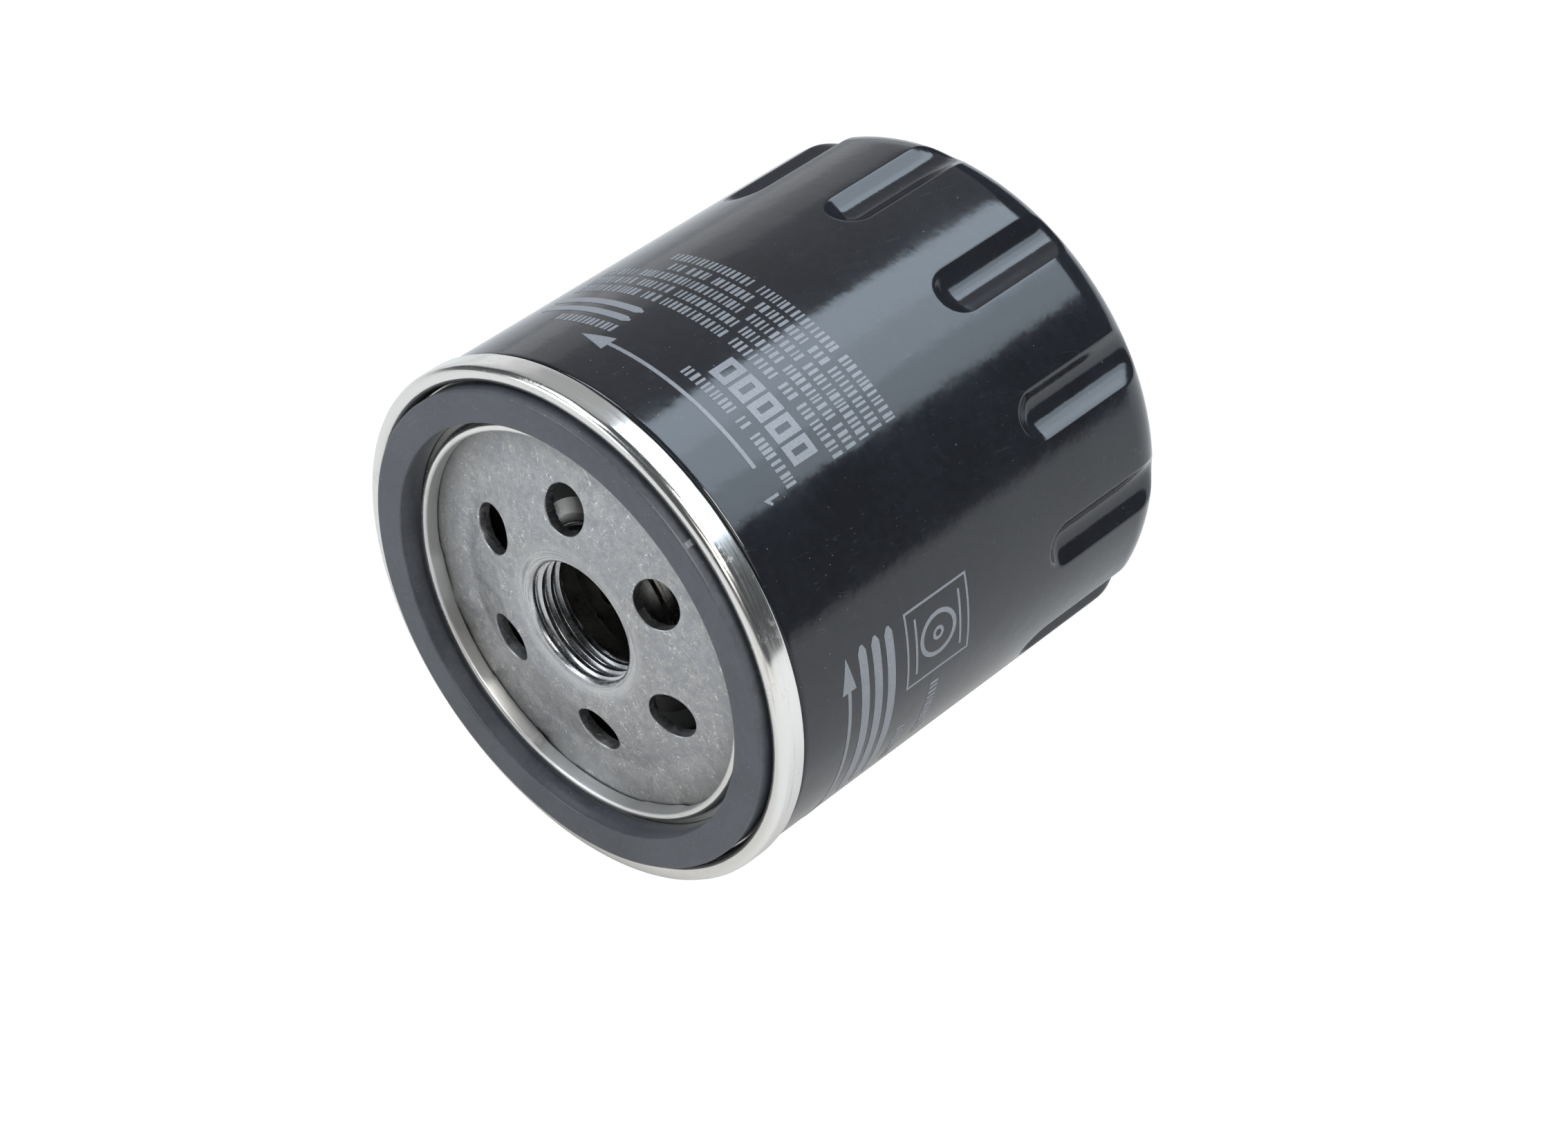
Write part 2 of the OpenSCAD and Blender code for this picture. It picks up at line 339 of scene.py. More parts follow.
def grey(value, alpha=1.0):
    return (value, value, value, alpha)


def effect(name, inputs, outputs):
    """An empty shader node group. inputs are (name, kind, value), outputs are (name, kind)."""
    tree = bpy.data.node_groups.new(name, "ShaderNodeTree")
    for label, kind, value in inputs:
        socket = tree.interface.new_socket(label, in_out="INPUT", socket_type="NodeSocket" + kind)
        if value is not None:
            socket.default_value = value
    for label, kind in outputs:
        tree.interface.new_socket(label, in_out="OUTPUT", socket_type="NodeSocket" + kind)
    return tree, tree.nodes.new("NodeGroupInput").outputs, tree.nodes.new("NodeGroupOutput").inputs


def use(tree, group, inputs=None):
    """A placed group's outputs."""
    node = tree.nodes.new("ShaderNodeGroup")
    node.node_tree = group
    for label, value in (inputs or {}).items():
        if isinstance(value, bpy.types.NodeSocket):
            tree.links.new(value, node.inputs[label])
        else:
            node.inputs[label].default_value = value
    return node.outputs


# ---------------------------------------------------------------- shared effects


def make_axis_group():
    """Object coordinates in mm, with the distance from the axis and the angle round it, and a vector that is
    stretched round the axis, so that a pattern on it runs in rings."""
    tree, given, out = effect("filter_axis", [("Position", "Vector", None), ("Stretch", "Float", 0.04)],
                              [("Place", "Vector"), ("Rings", "Vector"), ("Radius", "Float"),
                               ("Height", "Float"), ("Angle", "Float")])
    place = scaled_by(tree, given["Position"], 1 / MM)
    parts = add(tree, "SeparateXYZ", {0: place}).outputs
    radius = calc(tree, "SQRT", plus(tree, times(tree, parts[0], parts[0]),
                                     times(tree, parts[2], parts[2])))
    stretched = [times(tree, parts[k], given["Stretch"]) for k in (0, 2)]
    across = plus(tree, stretched[0], radius)
    rings = add(tree, "CombineXYZ", {0: across, 1: parts[1], 2: stretched[1]})
    tree.links.new(place, out["Place"])
    tree.links.new(rings.outputs[0], out["Rings"])
    tree.links.new(radius, out["Radius"])
    tree.links.new(parts[1], out["Height"])
    tree.links.new(calc(tree, "ARCTAN2", parts[2], parts[0]), out["Angle"])
    return tree


def make_dust_group():
    """Specks: the middles of a few cells of a cell pattern, each with its own size."""
    tree, given, out = effect("dust_specks", [("Vector", "Vector", None), ("Cells per mm", "Float", 0.8),
                                              ("Share", "Float", 0.3), ("Size", "Float", 0.12)],
                              [("Mask", "Float")])
    cells = add(tree, "TexVoronoi", {"Vector": given["Vector"], "Scale": given["Cells per mm"]})
    pick = add(tree, "SeparateColor", {0: cells.outputs["Color"]}).outputs
    size = times(tree, given["Size"], plus(tree, 0.35, pick[1]))
    near = calc(tree, "LESS_THAN", cells.outputs["Distance"], size)
    chosen = calc(tree, "LESS_THAN", pick[0], given["Share"])
    tree.links.new(times(tree, near, chosen), out["Mask"])
    return tree


def make_scratch_group():
    """Fine random scratches: thin contour lines of noises stretched along three directions."""
    tree, given, out = effect("fine_scratches", [("Vector", "Vector", None), ("Lines per mm", "Float", 1.2),
                                                 ("Length", "Float", 9.0), ("Width", "Float", 0.012)],
                              [("Mask", "Float")])
    total = None
    for k, angles in enumerate(((0.3, 0.5, 0.2), (1.1, 1.4, 0.9), (0.4, 2.3, 2.0), (1.9, 0.2, 2.6))):
        turned_to = add(tree, "VectorRotate", {"Vector": given["Vector"], "Rotation": angles},
                        rotation_type="EULER_XYZ").outputs[0]
        short = calc(tree, "DIVIDE", given["Lines per mm"], given["Length"])
        lines = given["Lines per mm"]
        stretch = add(tree, "CombineXYZ", {0: lines, 1: short, 2: lines}).outputs[0]
        vector = add(tree, "VectorMath", {0: turned_to, 1: stretch}, operation="MULTIPLY").outputs[0]
        value = noise(tree, vector, 1.0 + 0.3 * k, 1.0, 0.4)
        line = calc(tree, "COMPARE", value, 0.5 + 0.06 * (k - 1.5), given["Width"])
        broken = remap(tree, noise(tree, given["Vector"], 0.35 + 0.1 * k, 2.0), 0.48, 0.62)
        line = times(tree, line, broken)
        total = line if total is None else calc(tree, "MAXIMUM", total, line)
    tree.links.new(total, out["Mask"])
    return tree


def make_mottle_group():
    """Blotches at three sizes, summed to a value about 0.5."""
    tree, given, out = effect("mottle", [("Vector", "Vector", None), ("Size", "Float", 6.0)],
                              [("Value", "Float")])
    scale = calc(tree, "DIVIDE", 1.0, given["Size"])
    coarse = noise(tree, given["Vector"], scale, 4.0, 0.6)
    fine = noise(tree, given["Vector"], times(tree, scale, 9.0), 3.0, 0.65)
    value = plus(tree, times(tree, coarse, 0.6), times(tree, fine, 0.4))
    tree.links.new(value, out["Value"])
    return tree


def make_ring_lines_group():
    """Fine lines that run round the axis, as turning, rolling and drawing leave them."""
    tree, given, out = effect("ring_lines", [("Rings", "Vector", None), ("Lines per mm", "Float", 4.0)],
                              [("Value", "Float")])
    scaled = scaled_by(tree, given["Rings"], given["Lines per mm"])
    fine = noise(tree, scaled, 1.0, 3.0, 0.7)
    coarse = noise(tree, scaled, 0.17, 2.0, 0.5)
    value = plus(tree, times(tree, fine, 0.65), times(tree, coarse, 0.35))
    tree.links.new(value, out["Value"])
    return tree


AXIS = make_axis_group()
DUST = make_dust_group()
SCRATCHES = make_scratch_group()
MOTTLE = make_mottle_group()
RING_LINES = make_ring_lines_group()


def specks(tree, at, cells, share, size):
    inputs = {"Vector": at["Place"], "Cells per mm": cells, "Share": share, "Size": size}
    return use(tree, DUST, inputs)["Mask"]


def scratches(tree, vector, lines, length, width):
    inputs = {"Vector": vector, "Lines per mm": lines, "Length": length, "Width": width}
    return use(tree, SCRATCHES, inputs)["Mask"]


def mottled(tree, at, size):
    return use(tree, MOTTLE, {"Vector": at["Place"], "Size": size})["Value"]


def ring_lines(tree, at, per_mm):
    return use(tree, RING_LINES, {"Rings": at["Rings"], "Lines per mm": per_mm})["Value"]


# ---------------------------------------------------------------- materials


def new_material(name, stretch=0.04, metallic=0.0):
    """A material with its Principled shader, and the axis group's outputs on Object coordinates."""
    material = bpy.data.materials.new(name)
    material.use_nodes = True
    tree = material.node_tree
    tree.nodes.clear()
    shader = add(tree, "BsdfPrincipled", {"Metallic": metallic})
    output = add(tree, "OutputMaterial")
    tree.links.new(shader.outputs[0], output.inputs[0])
    spot = add(tree, "TexCoord").outputs["Object"]
    return material, tree, shader.inputs, use(tree, AXIS, {"Position": spot, "Stretch": stretch})


def bump(tree, height, distance):
    """The normal of a height pattern; distance is the height in mm of a value of one."""
    return add(tree, "Bump", {"Height": height, "Distance": distance * MM, "Strength": 1.0}).outputs[0]


def make_paint():
    """Gloss black enamel: ripples that make a reflection's edge ragged, dust, and faint rub marks."""
    material, tree, shader, at = new_material("black_enamel", 0.1)
    ripple = noise(tree, at["Rings"], 2.6, 3.0, 0.6)
    wide = noise(tree, at["Place"], 0.3, 2.0, 0.5)
    height = plus(tree, times(tree, ripple, 0.35), wide)
    seam_side = remap(tree, at["Height"], 6.0, 34.0, 1.0, 0.25)
    dust = specks(tree, at, 0.6, 0.13, 0.07)
    fine = specks(tree, at, 2.4, 0.07, 0.13)
    dust = times(tree, calc(tree, "MAXIMUM", dust, fine), seam_side)
    rub = scratches(tree, at["Place"], 0.35, 9.0, 0.003)
    haze = mottled(tree, at, 14.0)
    base = mixed(tree, remap(tree, haze, 0.35, 0.65), (0.0095, 0.0103, 0.0132, 1), (0.013, 0.0142, 0.018, 1))
    base = mixed(tree, times(tree, rub, 0.12), base, (0.09, 0.095, 0.105, 1))
    base = mixed(tree, times(tree, dust, 0.5), base, (0.36, 0.4, 0.45, 1))
    tree.links.new(base, shader["Base Color"])
    rough = remap(tree, haze, 0.3, 0.7, 0.1, 0.15)
    rough = plus(tree, rough, times(tree, dust, 0.4))
    tree.links.new(rough, shader["Roughness"])
    tree.links.new(bump(tree, height, 0.034), shader["Normal"])
    return material


def make_tin():
    """Bright rolled tin plate: ring lines, a few dull scuffs and a trace of rust in the creases."""
    material, tree, shader, at = new_material("bright_tin_plate", metallic=1.0)
    lines = ring_lines(tree, at, 5.0)
    blotch = mottled(tree, at, 5.0)
    scuff = remap(tree, blotch, 0.55, 0.68)
    rust = remap(tree, noise(tree, at["Rings"], 0.9, 4.0, 0.7), 0.62, 0.74)
    base = mixed(tree, times(tree, scuff, 0.35), (0.79, 0.775, 0.74, 1), (0.52, 0.5, 0.47, 1))
    base = mixed(tree, times(tree, rust, 0.45), base, (0.34, 0.2, 0.12, 1))
    wall = remap(tree, at["Radius"], 28.85, 28.6)
    base = mixed(tree, times(tree, wall, 0.7), base, (0.62, 0.62, 0.61, 1))
    tree.links.new(base, shader["Base Color"])
    rough = remap(tree, lines, 0.35, 0.65, 0.14, 0.26)
    rough = plus(tree, rough, times(tree, wall, 0.24))
    tree.links.new(plus(tree, rough, times(tree, scuff, 0.15)), shader["Roughness"])
    tree.links.new(bump(tree, lines, 0.006), shader["Normal"])
    return material


def make_plate_steel():
    """Dull zinc-grey steel: a crystalline mottle, fine scratches, turned lines in the mouth, and painted
    shade that darkens it towards the rim.
    """
    material, tree, shader, at = new_material("dull_plated_steel", metallic=1.0)
    mottle = mottled(tree, at, 1.3)
    broad = mottled(tree, at, 18.0)
    scratch = scratches(tree, at["Place"], 0.8, 9.0, 0.008)
    shifted = add(tree, "Mapping", {"Vector": at["Place"], "Location": (31.0, 7.0, -12.0),
                                    "Rotation": (0.4, 0.7, 0.3)}).outputs[0]
    fine = scratches(tree, shifted, 1.6, 8.0, 0.016)
    lines = ring_lines(tree, at, 5.0)
    thread = times(tree, remap(tree, at["Radius"], 9.75, 9.5), remap(tree, at["Height"], 0.7, 1.1))
    flat = minus(tree, 1.0, thread)
    mouth = times(tree, remap(tree, at["Radius"], 12.6, 9.6), flat)
    scratch = times(tree, scratch, flat)
    bright = calc(tree, "MAXIMUM", mouth, thread)
    # Painted shade: rim masks the plate from 23 mm out to its edge under the lid, and further down the base
    # colour there is darkened to stand in for shade.
    rim = times(tree, remap(tree, at["Radius"], 23.0, 28.3), remap(tree, at["Height"], 0.8, 1.9))
    base = mixed(tree, remap(tree, mottle, 0.4, 0.6), (0.32, 0.325, 0.335, 1), (0.475, 0.47, 0.46, 1))
    base = mixed(tree, remap(tree, broad, 0.4, 0.62, 0.0, 0.5), base, (0.36, 0.375, 0.41, 1))
    base = mixed(tree, times(tree, fine, 0.55), base, (0.60, 0.585, 0.56, 1))
    base = mixed(tree, times(tree, scratch, 0.85), base, (0.86, 0.85, 0.83, 1))
    base = mixed(tree, times(tree, rim, 0.5), base, (0.13, 0.13, 0.125, 1))
    base = mixed(tree, times(tree, bright, 0.7), base, (0.68, 0.69, 0.70, 1))
    dark_lines = times(tree, mouth, remap(tree, lines, 0.5, 0.62))
    base = mixed(tree, times(tree, dark_lines, 0.55), base, (0.12, 0.12, 0.12, 1))
    tree.links.new(base, shader["Base Color"])
    rough = remap(tree, mottle, 0.4, 0.6, 0.38, 0.5)
    rough = minus(tree, rough, times(tree, bright, 0.17))
    tree.links.new(minus(tree, rough, times(tree, scratch, 0.1)), shader["Roughness"])
    grain = minus(tree, 0.8, times(tree, thread, 0.7))
    turning = plus(tree, 0.3, times(tree, mouth, 1.2))
    height = plus(tree, times(tree, mottle, grain), times(tree, lines, turning))
    height = minus(tree, height, times(tree, scratch, 0.5))
    tree.links.new(bump(tree, height, 0.022), shader["Normal"])
    return material


def make_rubber(name, dark, light, rough, speck, scuffs):
    """Moulded rubber: ring-wise scuffs, a fine grain and pale specks of dust."""
    material, tree, shader, at = new_material(name)
    lines = ring_lines(tree, at, 3.0)
    grain = noise(tree, at["Place"], 9.0, 3.0, 0.6)
    haze = mottled(tree, at, 8.0)
    rub = times(tree, remap(tree, lines, 0.55, 0.7), remap(tree, haze, 0.45, 0.6))
    dust = specks(tree, at, 1.5, 0.2, 0.1)
    base = mixed(tree, remap(tree, haze, 0.35, 0.65), dark, light)
    base = mixed(tree, times(tree, rub, scuffs), base, (0.19, 0.195, 0.205, 1))
    base = mixed(tree, times(tree, dust, speck), base, (0.42, 0.42, 0.43, 1))
    tree.links.new(base, shader["Base Color"])
    tree.links.new(remap(tree, haze, 0.35, 0.65, rough - 0.05, rough + 0.06), shader["Roughness"])
    height = plus(tree, times(tree, grain, 0.4), lines)
    tree.links.new(bump(tree, height, 0.012), shader["Normal"])
    return material


def make_sheet_steel():
    """Satin pressed steel with an oil film: soft mottle and drawing lines."""
    material, tree, shader, at = new_material("satin_pressed_steel", metallic=1.0)
    mottle = mottled(tree, at, 4.0)
    lines = ring_lines(tree, at, 3.0)
    base = mixed(tree, remap(tree, mottle, 0.36, 0.64), (0.46, 0.45, 0.43, 1), (0.62, 0.615, 0.6, 1))
    tree.links.new(base, shader["Base Color"])
    tree.links.new(remap(tree, mottle, 0.36, 0.64, 0.26, 0.4), shader["Roughness"])
    tree.links.new(bump(tree, lines, 0.01), shader["Normal"])
    return material


def make_spring_steel():
    """Oil-hardened spring wire: dark, with drawing lines and rubbed bright spots."""
    material, tree, shader, at = new_material("spring_wire", metallic=1.0)
    mottle = mottled(tree, at, 3.0)
    lines = noise(tree, at["Place"], 6.0, 3.0, 0.7)
    base = mixed(tree, remap(tree, mottle, 0.38, 0.62), (0.24, 0.235, 0.235, 1), (0.46, 0.455, 0.45, 1))
    tree.links.new(base, shader["Base Color"])
    tree.links.new(remap(tree, lines, 0.35, 0.65, 0.24, 0.42), shader["Roughness"])
    tree.links.new(bump(tree, lines, 0.008), shader["Normal"])
    return material


def make_paper():
    """Creped filter paper: short fibres across the pleats and resin blotches."""
    material, tree, shader, at = new_material("creped_filter_paper")
    crepe = noise(tree, add(tree, "Mapping", {"Vector": at["Place"], "Scale": (0.6, 3.2, 0.6)}).outputs[0],
                  1.0, 4.0, 0.65)
    blotch = mottled(tree, at, 5.0)
    base = mixed(tree, remap(tree, crepe, 0.3, 0.7), (0.60, 0.47, 0.26, 1), (0.80, 0.68, 0.45, 1))
    base = mixed(tree, remap(tree, blotch, 0.5, 0.68, 0.0, 0.4), base, (0.52, 0.38, 0.2, 1))
    tree.links.new(base, shader["Base Color"])
    shader["Roughness"].default_value = 0.82
    tree.links.new(bump(tree, crepe, 0.08), shader["Normal"])
    return material


def make_cured(name, dark, light, rough):
    """A cured bead of adhesive or compound: a skin with soft lumps."""
    material, tree, shader, at = new_material(name)
    lumps = mottled(tree, at, 2.5)
    tree.links.new(mixed(tree, remap(tree, lumps, 0.38, 0.62), dark, light), shader["Base Color"])
    tree.links.new(remap(tree, lumps, 0.38, 0.62, rough - 0.08, rough + 0.08), shader["Roughness"])
    tree.links.new(bump(tree, lumps, 0.06), shader["Normal"])
    return material


def make_ink():
    """Silver-grey screen print, thin enough that its edges and middle are a little uneven."""
    material, tree, shader, at = new_material("silver_print")
    grain = noise(tree, at["Place"], 5.0, 4.0, 0.7)
    blotch = mottled(tree, at, 3.0)
    base = mixed(tree, remap(tree, grain, 0.35, 0.65), (0.155, 0.165, 0.185, 1), (0.235, 0.25, 0.275, 1))
    base = mixed(tree, remap(tree, blotch, 0.35, 0.55, 0.3, 0.0), base, (0.14, 0.155, 0.18, 1))
    tree.links.new(base, shader["Base Color"])
    tree.links.new(remap(tree, grain, 0.3, 0.7, 0.28, 0.42), shader["Roughness"])
    tree.links.new(bump(tree, grain, 0.006), shader["Normal"])
    return material


PAINT = make_paint()
TIN = make_tin()
PLATE_STEEL = make_plate_steel()
GASKET_RUBBER = make_rubber("gasket_rubber", (0.060, 0.065, 0.077, 1), (0.086, 0.093, 0.108, 1),
                            rough=0.4, speck=0.5, scuffs=0.5)
VALVE_RUBBER = make_rubber("valve_rubber", (0.012, 0.012, 0.013, 1), (0.02, 0.02, 0.021, 1),
                           rough=0.5, speck=0.1, scuffs=0.15)
SHEET_STEEL = make_sheet_steel()
SPRING_STEEL = make_spring_steel()
PAPER = make_paper()
ADHESIVE = make_cured("cured_plastisol", (0.09, 0.078, 0.07, 1), (0.16, 0.14, 0.125, 1), 0.45)
COMPOUND = make_cured("seam_sealant", (0.42, 0.37, 0.28, 1), (0.55, 0.5, 0.4, 1), 0.6)
INK = make_ink()


# ---------------------------------------------------------------- casing pieces


def flute_cut(radius, height, angle, grow):
    """The radius left when the flutes are pressed in. Each flute is a round bar lying along Y, with a ball
    at its near end. Seen along a radius at turn d from the bar, the bar's near side is at A cos d -
    sqrt(b*b - A*A sin d * sin d), where A is the bar's distance and b its radius. The two surfaces meet in
    a soft edge."""
    bar = (FLUTE_WIDTH ** 2 / 4 + FLUTE_DEPTH ** 2) / (2 * FLUTE_DEPTH)
    distance = CAN_R - FLUTE_DEPTH + bar
    ball = CAN_END - FLUTE_RUN + FLUTE_WIDTH / 2
    pitch = TURN / FLUTES
    turn = (angle - FLUTE_TURN + pitch / 2) % pitch - pitch / 2
    short = np.maximum(ball - height, 0)
    room = (bar + grow) ** 2 - short ** 2 - (distance * np.sin(turn)) ** 2
    pressed = np.where(room > 0, distance * np.cos(turn) - np.sqrt(np.maximum(room, 0)), distance)
    meet = np.maximum(FLUTE_EDGE - np.abs(radius - pressed), 0) / FLUTE_EDGE
    return np.minimum(radius, pressed) - meet ** 2 * FLUTE_EDGE / 4


def can_angles():
    """Angles for the can's columns: close together at the flutes' edges, wide apart on the lands."""
    half = math.asin(FLUTE_WIDTH / 2 / CAN_R)
    side = np.concatenate([np.linspace(0, 0.6, 6, endpoint=False), np.linspace(0.6, 1.5, 17, endpoint=False),
                           [1.5, 1.7, 1.95, 2.3]]) * half
    one = np.concatenate([-side[:0:-1], side])
    last = math.pi / FLUTES
    one = np.concatenate([one, [last]])
    starts = FLUTE_TURN + np.arange(FLUTES) * TURN / FLUTES
    angles = (starts[:, None] + one[None, :]).ravel()
    return np.append(angles, angles[0] + TURN)


def make_can():
    """The drawn can: the closed end, its corner and wall, the hook in the seam, and the same inside."""
    def skin(inset, top, rows, step):
        """Radii and heights down one side of the sheet, from the end's middle to the height top. rows are
        the counts on the flat end, the corner and the wall; step is the spacing at the flutes' ends."""
        radius, end, corner = CAN_R - inset, CAN_END - inset, CORNER - inset
        flat = np.linspace(0, radius - corner, rows[0], endpoint=False)
        flat = np.stack([flat, np.full(rows[0], end)], -1)
        bend = np.linspace(0, math.pi / 2, rows[1])
        arc = np.stack([radius - corner + corner * np.sin(bend), end - corner + corner * np.cos(bend)], -1)
        first = CAN_END - FLUTE_RUN
        heights = np.concatenate([np.linspace(end - corner - 1, first + 5.5, rows[2]),
                                  np.arange(first + 5.2, first - 0.8, -step),
                                  np.linspace(first - 2, top, rows[2])])
        wall = np.stack([np.full(len(heights), radius), heights], -1)
        return np.concatenate([flat, arc, wall])

    neck = SEAM_END + 0.1
    outside = skin(0, neck + 1.4, (9, 25, 7), 0.28)
    inside = skin(CAN_WALL, neck + 1.6, (5, 11, 4), 0.7)[::-1]
    hook_top = SEAM_TOP + SEAM_LAYER + 0.06
    layer = [SEAM_IN + k * SEAM_LAYER + 0.03 for k in range(6)]
    hook = rounded([(CAN_R, neck + 1.2, 0), (CAN_R, neck + 0.55, 0.5), (layer[2] - 0.06, neck, 0.2),
                    (layer[2] - 0.06, hook_top + SEAM_LAYER, 0.1), (layer[3], hook_top + SEAM_LAYER, 0.1),
                    (layer[3], SEAM_END - 1.5, 0.1), (layer[4] - 0.06, SEAM_END - 1.5, 0.1),
                    (layer[4] - 0.06, hook_top, 0.4), (layer[1], hook_top, 0.4), (layer[1], neck + 0.2, 0.3),
                    (CAN_R - CAN_WALL, neck + 0.9, 0.4), (CAN_R - CAN_WALL, neck + 1.4, 0)],
                   closed=False, steps=4)
    angles = can_angles()[None, :]
    grids = []
    for side, grow in ((outside, 0), (inside, CAN_WALL)):
        radius, height = side[:, :1], side[:, 1:]
        cut = np.where(height > CAN_END - FLUTE_RUN - 2, flute_cut(radius, height, angles, grow), radius)
        grids.append(around(cut, height, angles))
    grids.insert(1, turned(hook, angles[0]))
    whole = np.concatenate(grids)
    return finish(mesh_piece("can_shell", [whole]), "casing", "can_paint", PAINT, "can")


LID_CREASES = ((-171.6, 1), (-157.6, -1), (-131.8, 1), (-109.4, -1), (-70, 1), (-52, -1), (30, 1), (48, -1))
RIM_PRESSES = ((-157.0, -1), (-147.0, 0.5), (-109.4, 1), (-100.0, -0.6), (-52.0, 0.7), (48.0, -0.7))
GASKET_TABS = (50.4, 170.4, 290.4)


def degrees_from(angle, at):
    """How far an angle is from a place round the axis, in degrees from -180 to 180."""
    return np.degrees((angle - np.radians(at) + math.pi) % TURN - math.pi)


def make_seam():
    """The lid: an upstand with pressed creases, the gasket's channel and the rolled seam round the can."""
    outline = rounded([
        (LID_IN, LID_FLOOR + LID_WALL, 0.3), (LID_IN, SEAM_TOP + 1.15, 0.4),
        (LID_IN + UPSTAND, SEAM_TOP + 1.15, 0.6), (LID_IN + UPSTAND, LID_FLOOR, 0.5),
        (SEAM_IN + 0.03, LID_FLOOR, 0.4), (SEAM_IN + 0.03, SEAM_TOP, 0.9), (SEAM_R, SEAM_TOP, 1.2),
        (SEAM_R, SEAM_END, 0.45), (SEAM_IN + 2 * SEAM_LAYER + 0.03, SEAM_END, 0.15),
        (SEAM_IN + 2 * SEAM_LAYER + 0.03, SEAM_TOP + 1.6, 0.1),
        (SEAM_IN + 3 * SEAM_LAYER - 0.03, SEAM_TOP + 1.6, 0.1),
        (SEAM_IN + 3 * SEAM_LAYER - 0.03, SEAM_END - SEAM_LAYER, 0.1),
        (SEAM_IN + 4 * SEAM_LAYER + 0.03, SEAM_END - SEAM_LAYER, 0.1),
        (SEAM_IN + 4 * SEAM_LAYER + 0.03, SEAM_TOP + SEAM_LAYER, 0.4),
        (SEAM_IN + SEAM_LAYER - 0.03, SEAM_TOP + SEAM_LAYER, 0.4),
        (SEAM_IN + SEAM_LAYER - 0.03, LID_FLOOR + LID_WALL, 0.3)], steps=8)
    outline = looped(subdivided(outline, 0.6))
    angle = full_turn(384)[None, :]
    radius, height = outline[:, :1], outline[:, 1:]
    outer = np.clip((radius - SEAM_R + 0.5) / 0.5, 0, 1)
    roll = 0.035 * waves(4, angle, height, turns=23) * outer
    inner = np.clip((LID_IN + 0.8 - radius) / 0.5, 0, 1)
    crease = 0.0
    for at, side in LID_CREASES:
        turn = degrees_from(angle, at)
        crease = crease + side * (np.tanh(turn / 1.1) + 1) / 2 * np.exp(-np.maximum(turn, 0) / 60)
    dent = 0.3 * (crease - np.mean(crease)) * inner * np.clip((height + 0.2) / 1.5, 0, 1)
    grid = around(np.minimum(radius - np.abs(roll), SEAM_R) - dent, height, angle)
    return finish(mesh_piece("rolled_seam_lid", [grid], 50), "casing", "tin_plate", TIN, "seaming_lid")


def make_gasket():
    """The sealing ring: a square section with soft edges, a trimmed face and three small holding tabs."""
    outline = rounded([(GASKET_IN, GASKET_BACK, 0.3), (GASKET_IN, GASKET_FACE, 0.22),
                       (GASKET_OUT, GASKET_FACE, 0.3), (GASKET_OUT, GASKET_BACK, 0.3)])
    outline = looped(subdivided(outline, 0.35))
    tab_edges = np.radians(np.linspace(-1.3, 1.3, 27))
    tabs = np.radians(GASKET_TABS)
    angle = np.concatenate([full_turn(300)[:-1], ((tabs[:, None] + tab_edges) % TURN).ravel()])
    angle = np.sort(np.unique(np.round(angle, 6)))
    angle = np.append(angle, angle[0] + TURN)[None, :]
    radius, height = outline[:, :1], outline[:, 1:]
    off = np.abs(degrees_from(angle[..., None], GASKET_TABS)).min(-1)
    block = np.clip((0.85 - off) / 0.12, 0, 1) * np.clip((height - GASKET_FACE - 0.9) / 0.15, 0, 1)
    outward = np.clip((radius - GASKET_OUT + 0.25) / 0.2, 0, 1)
    sway = 0.03 * waves(11, angle, 0 * height, turns=6)
    grid = around(radius + sway + 0.33 * block * outward, height, angle)
    return finish(mesh_piece("square_gasket", [grid], 55), "casing", "gasket_rubber", GASKET_RUBBER, "gasket")


def plate_sides():
    """The plate's outer and inner faces as heights over the radius: a rounded mouth, a crown round it, the
    cone that carries the inlet holes, and the flat rim under the lid."""
    edge = LID_FLOOR + LID_WALL
    back_r = PLATE_WALL * math.tan(PLATE_SLOPE / 2)
    face = rounded([(MOUTH_R, 1.6, 0), (MOUTH_R, MOUTH + 0.3, 0.95), (THREAD_R + 2.9, MOUTH, 5.0),
                    (SHOULDER_R, MOUTH, 8.0), (DISH_R, edge, 5.0), (PLATE_R, edge, 0)],
                   closed=False, steps=14)
    back = rounded([(THREAD_R + 2.2, COLLAR_END, 0), (THREAD_R + 2.2, PLATE_WALL, 1.4),
                    (SHOULDER_R - back_r, PLATE_WALL, 4.0), (DISH_R - back_r, edge + PLATE_WALL, 4.0),
                    (PLATE_R, edge + PLATE_WALL, 0)], closed=False, steps=12)
    return face, back


def thread_grid(angles, start, end):
    """The stud thread as a skewed grid whose rows follow the helix. The radius steps between the crest and
    the root by how far a point is along its pitch, and both ends are cut flat with a small countersink."""
    steps = 22
    first, last = math.floor(start / PITCH), math.ceil(end / PITCH) + 1
    rows = np.arange(first * steps, last * steps + 1) * PITCH / steps
    swept = angles[None, :] - angles[0]
    height = np.clip(rows[:, None] - PITCH * swept / TURN, start, end)
    along = (height / PITCH + angles[None, :] / TURN) % 1
    slope = 1 - np.abs(2 * along - 1)
    deep = np.clip((slope - 0.33) / 0.57, 0, 1)
    deep = deep + 0.04 * np.sin(deep * TURN)
    radius = THREAD_R + (THREAD_ROOT - THREAD_R) * deep
    wear = 0.012 * waves(21, angles[None, :], height * 3, turns=9)
    radius = radius + wear * (deep < 0.2)
    radius = np.maximum(radius, MOUTH_R - (height - start) * 1.6)
    radius = np.maximum(radius, MOUTH_R - (end - height))
    radius = np.where((height <= start) | (height >= end), MOUTH_R, radius)
    return around(radius, height, angles[None, :])


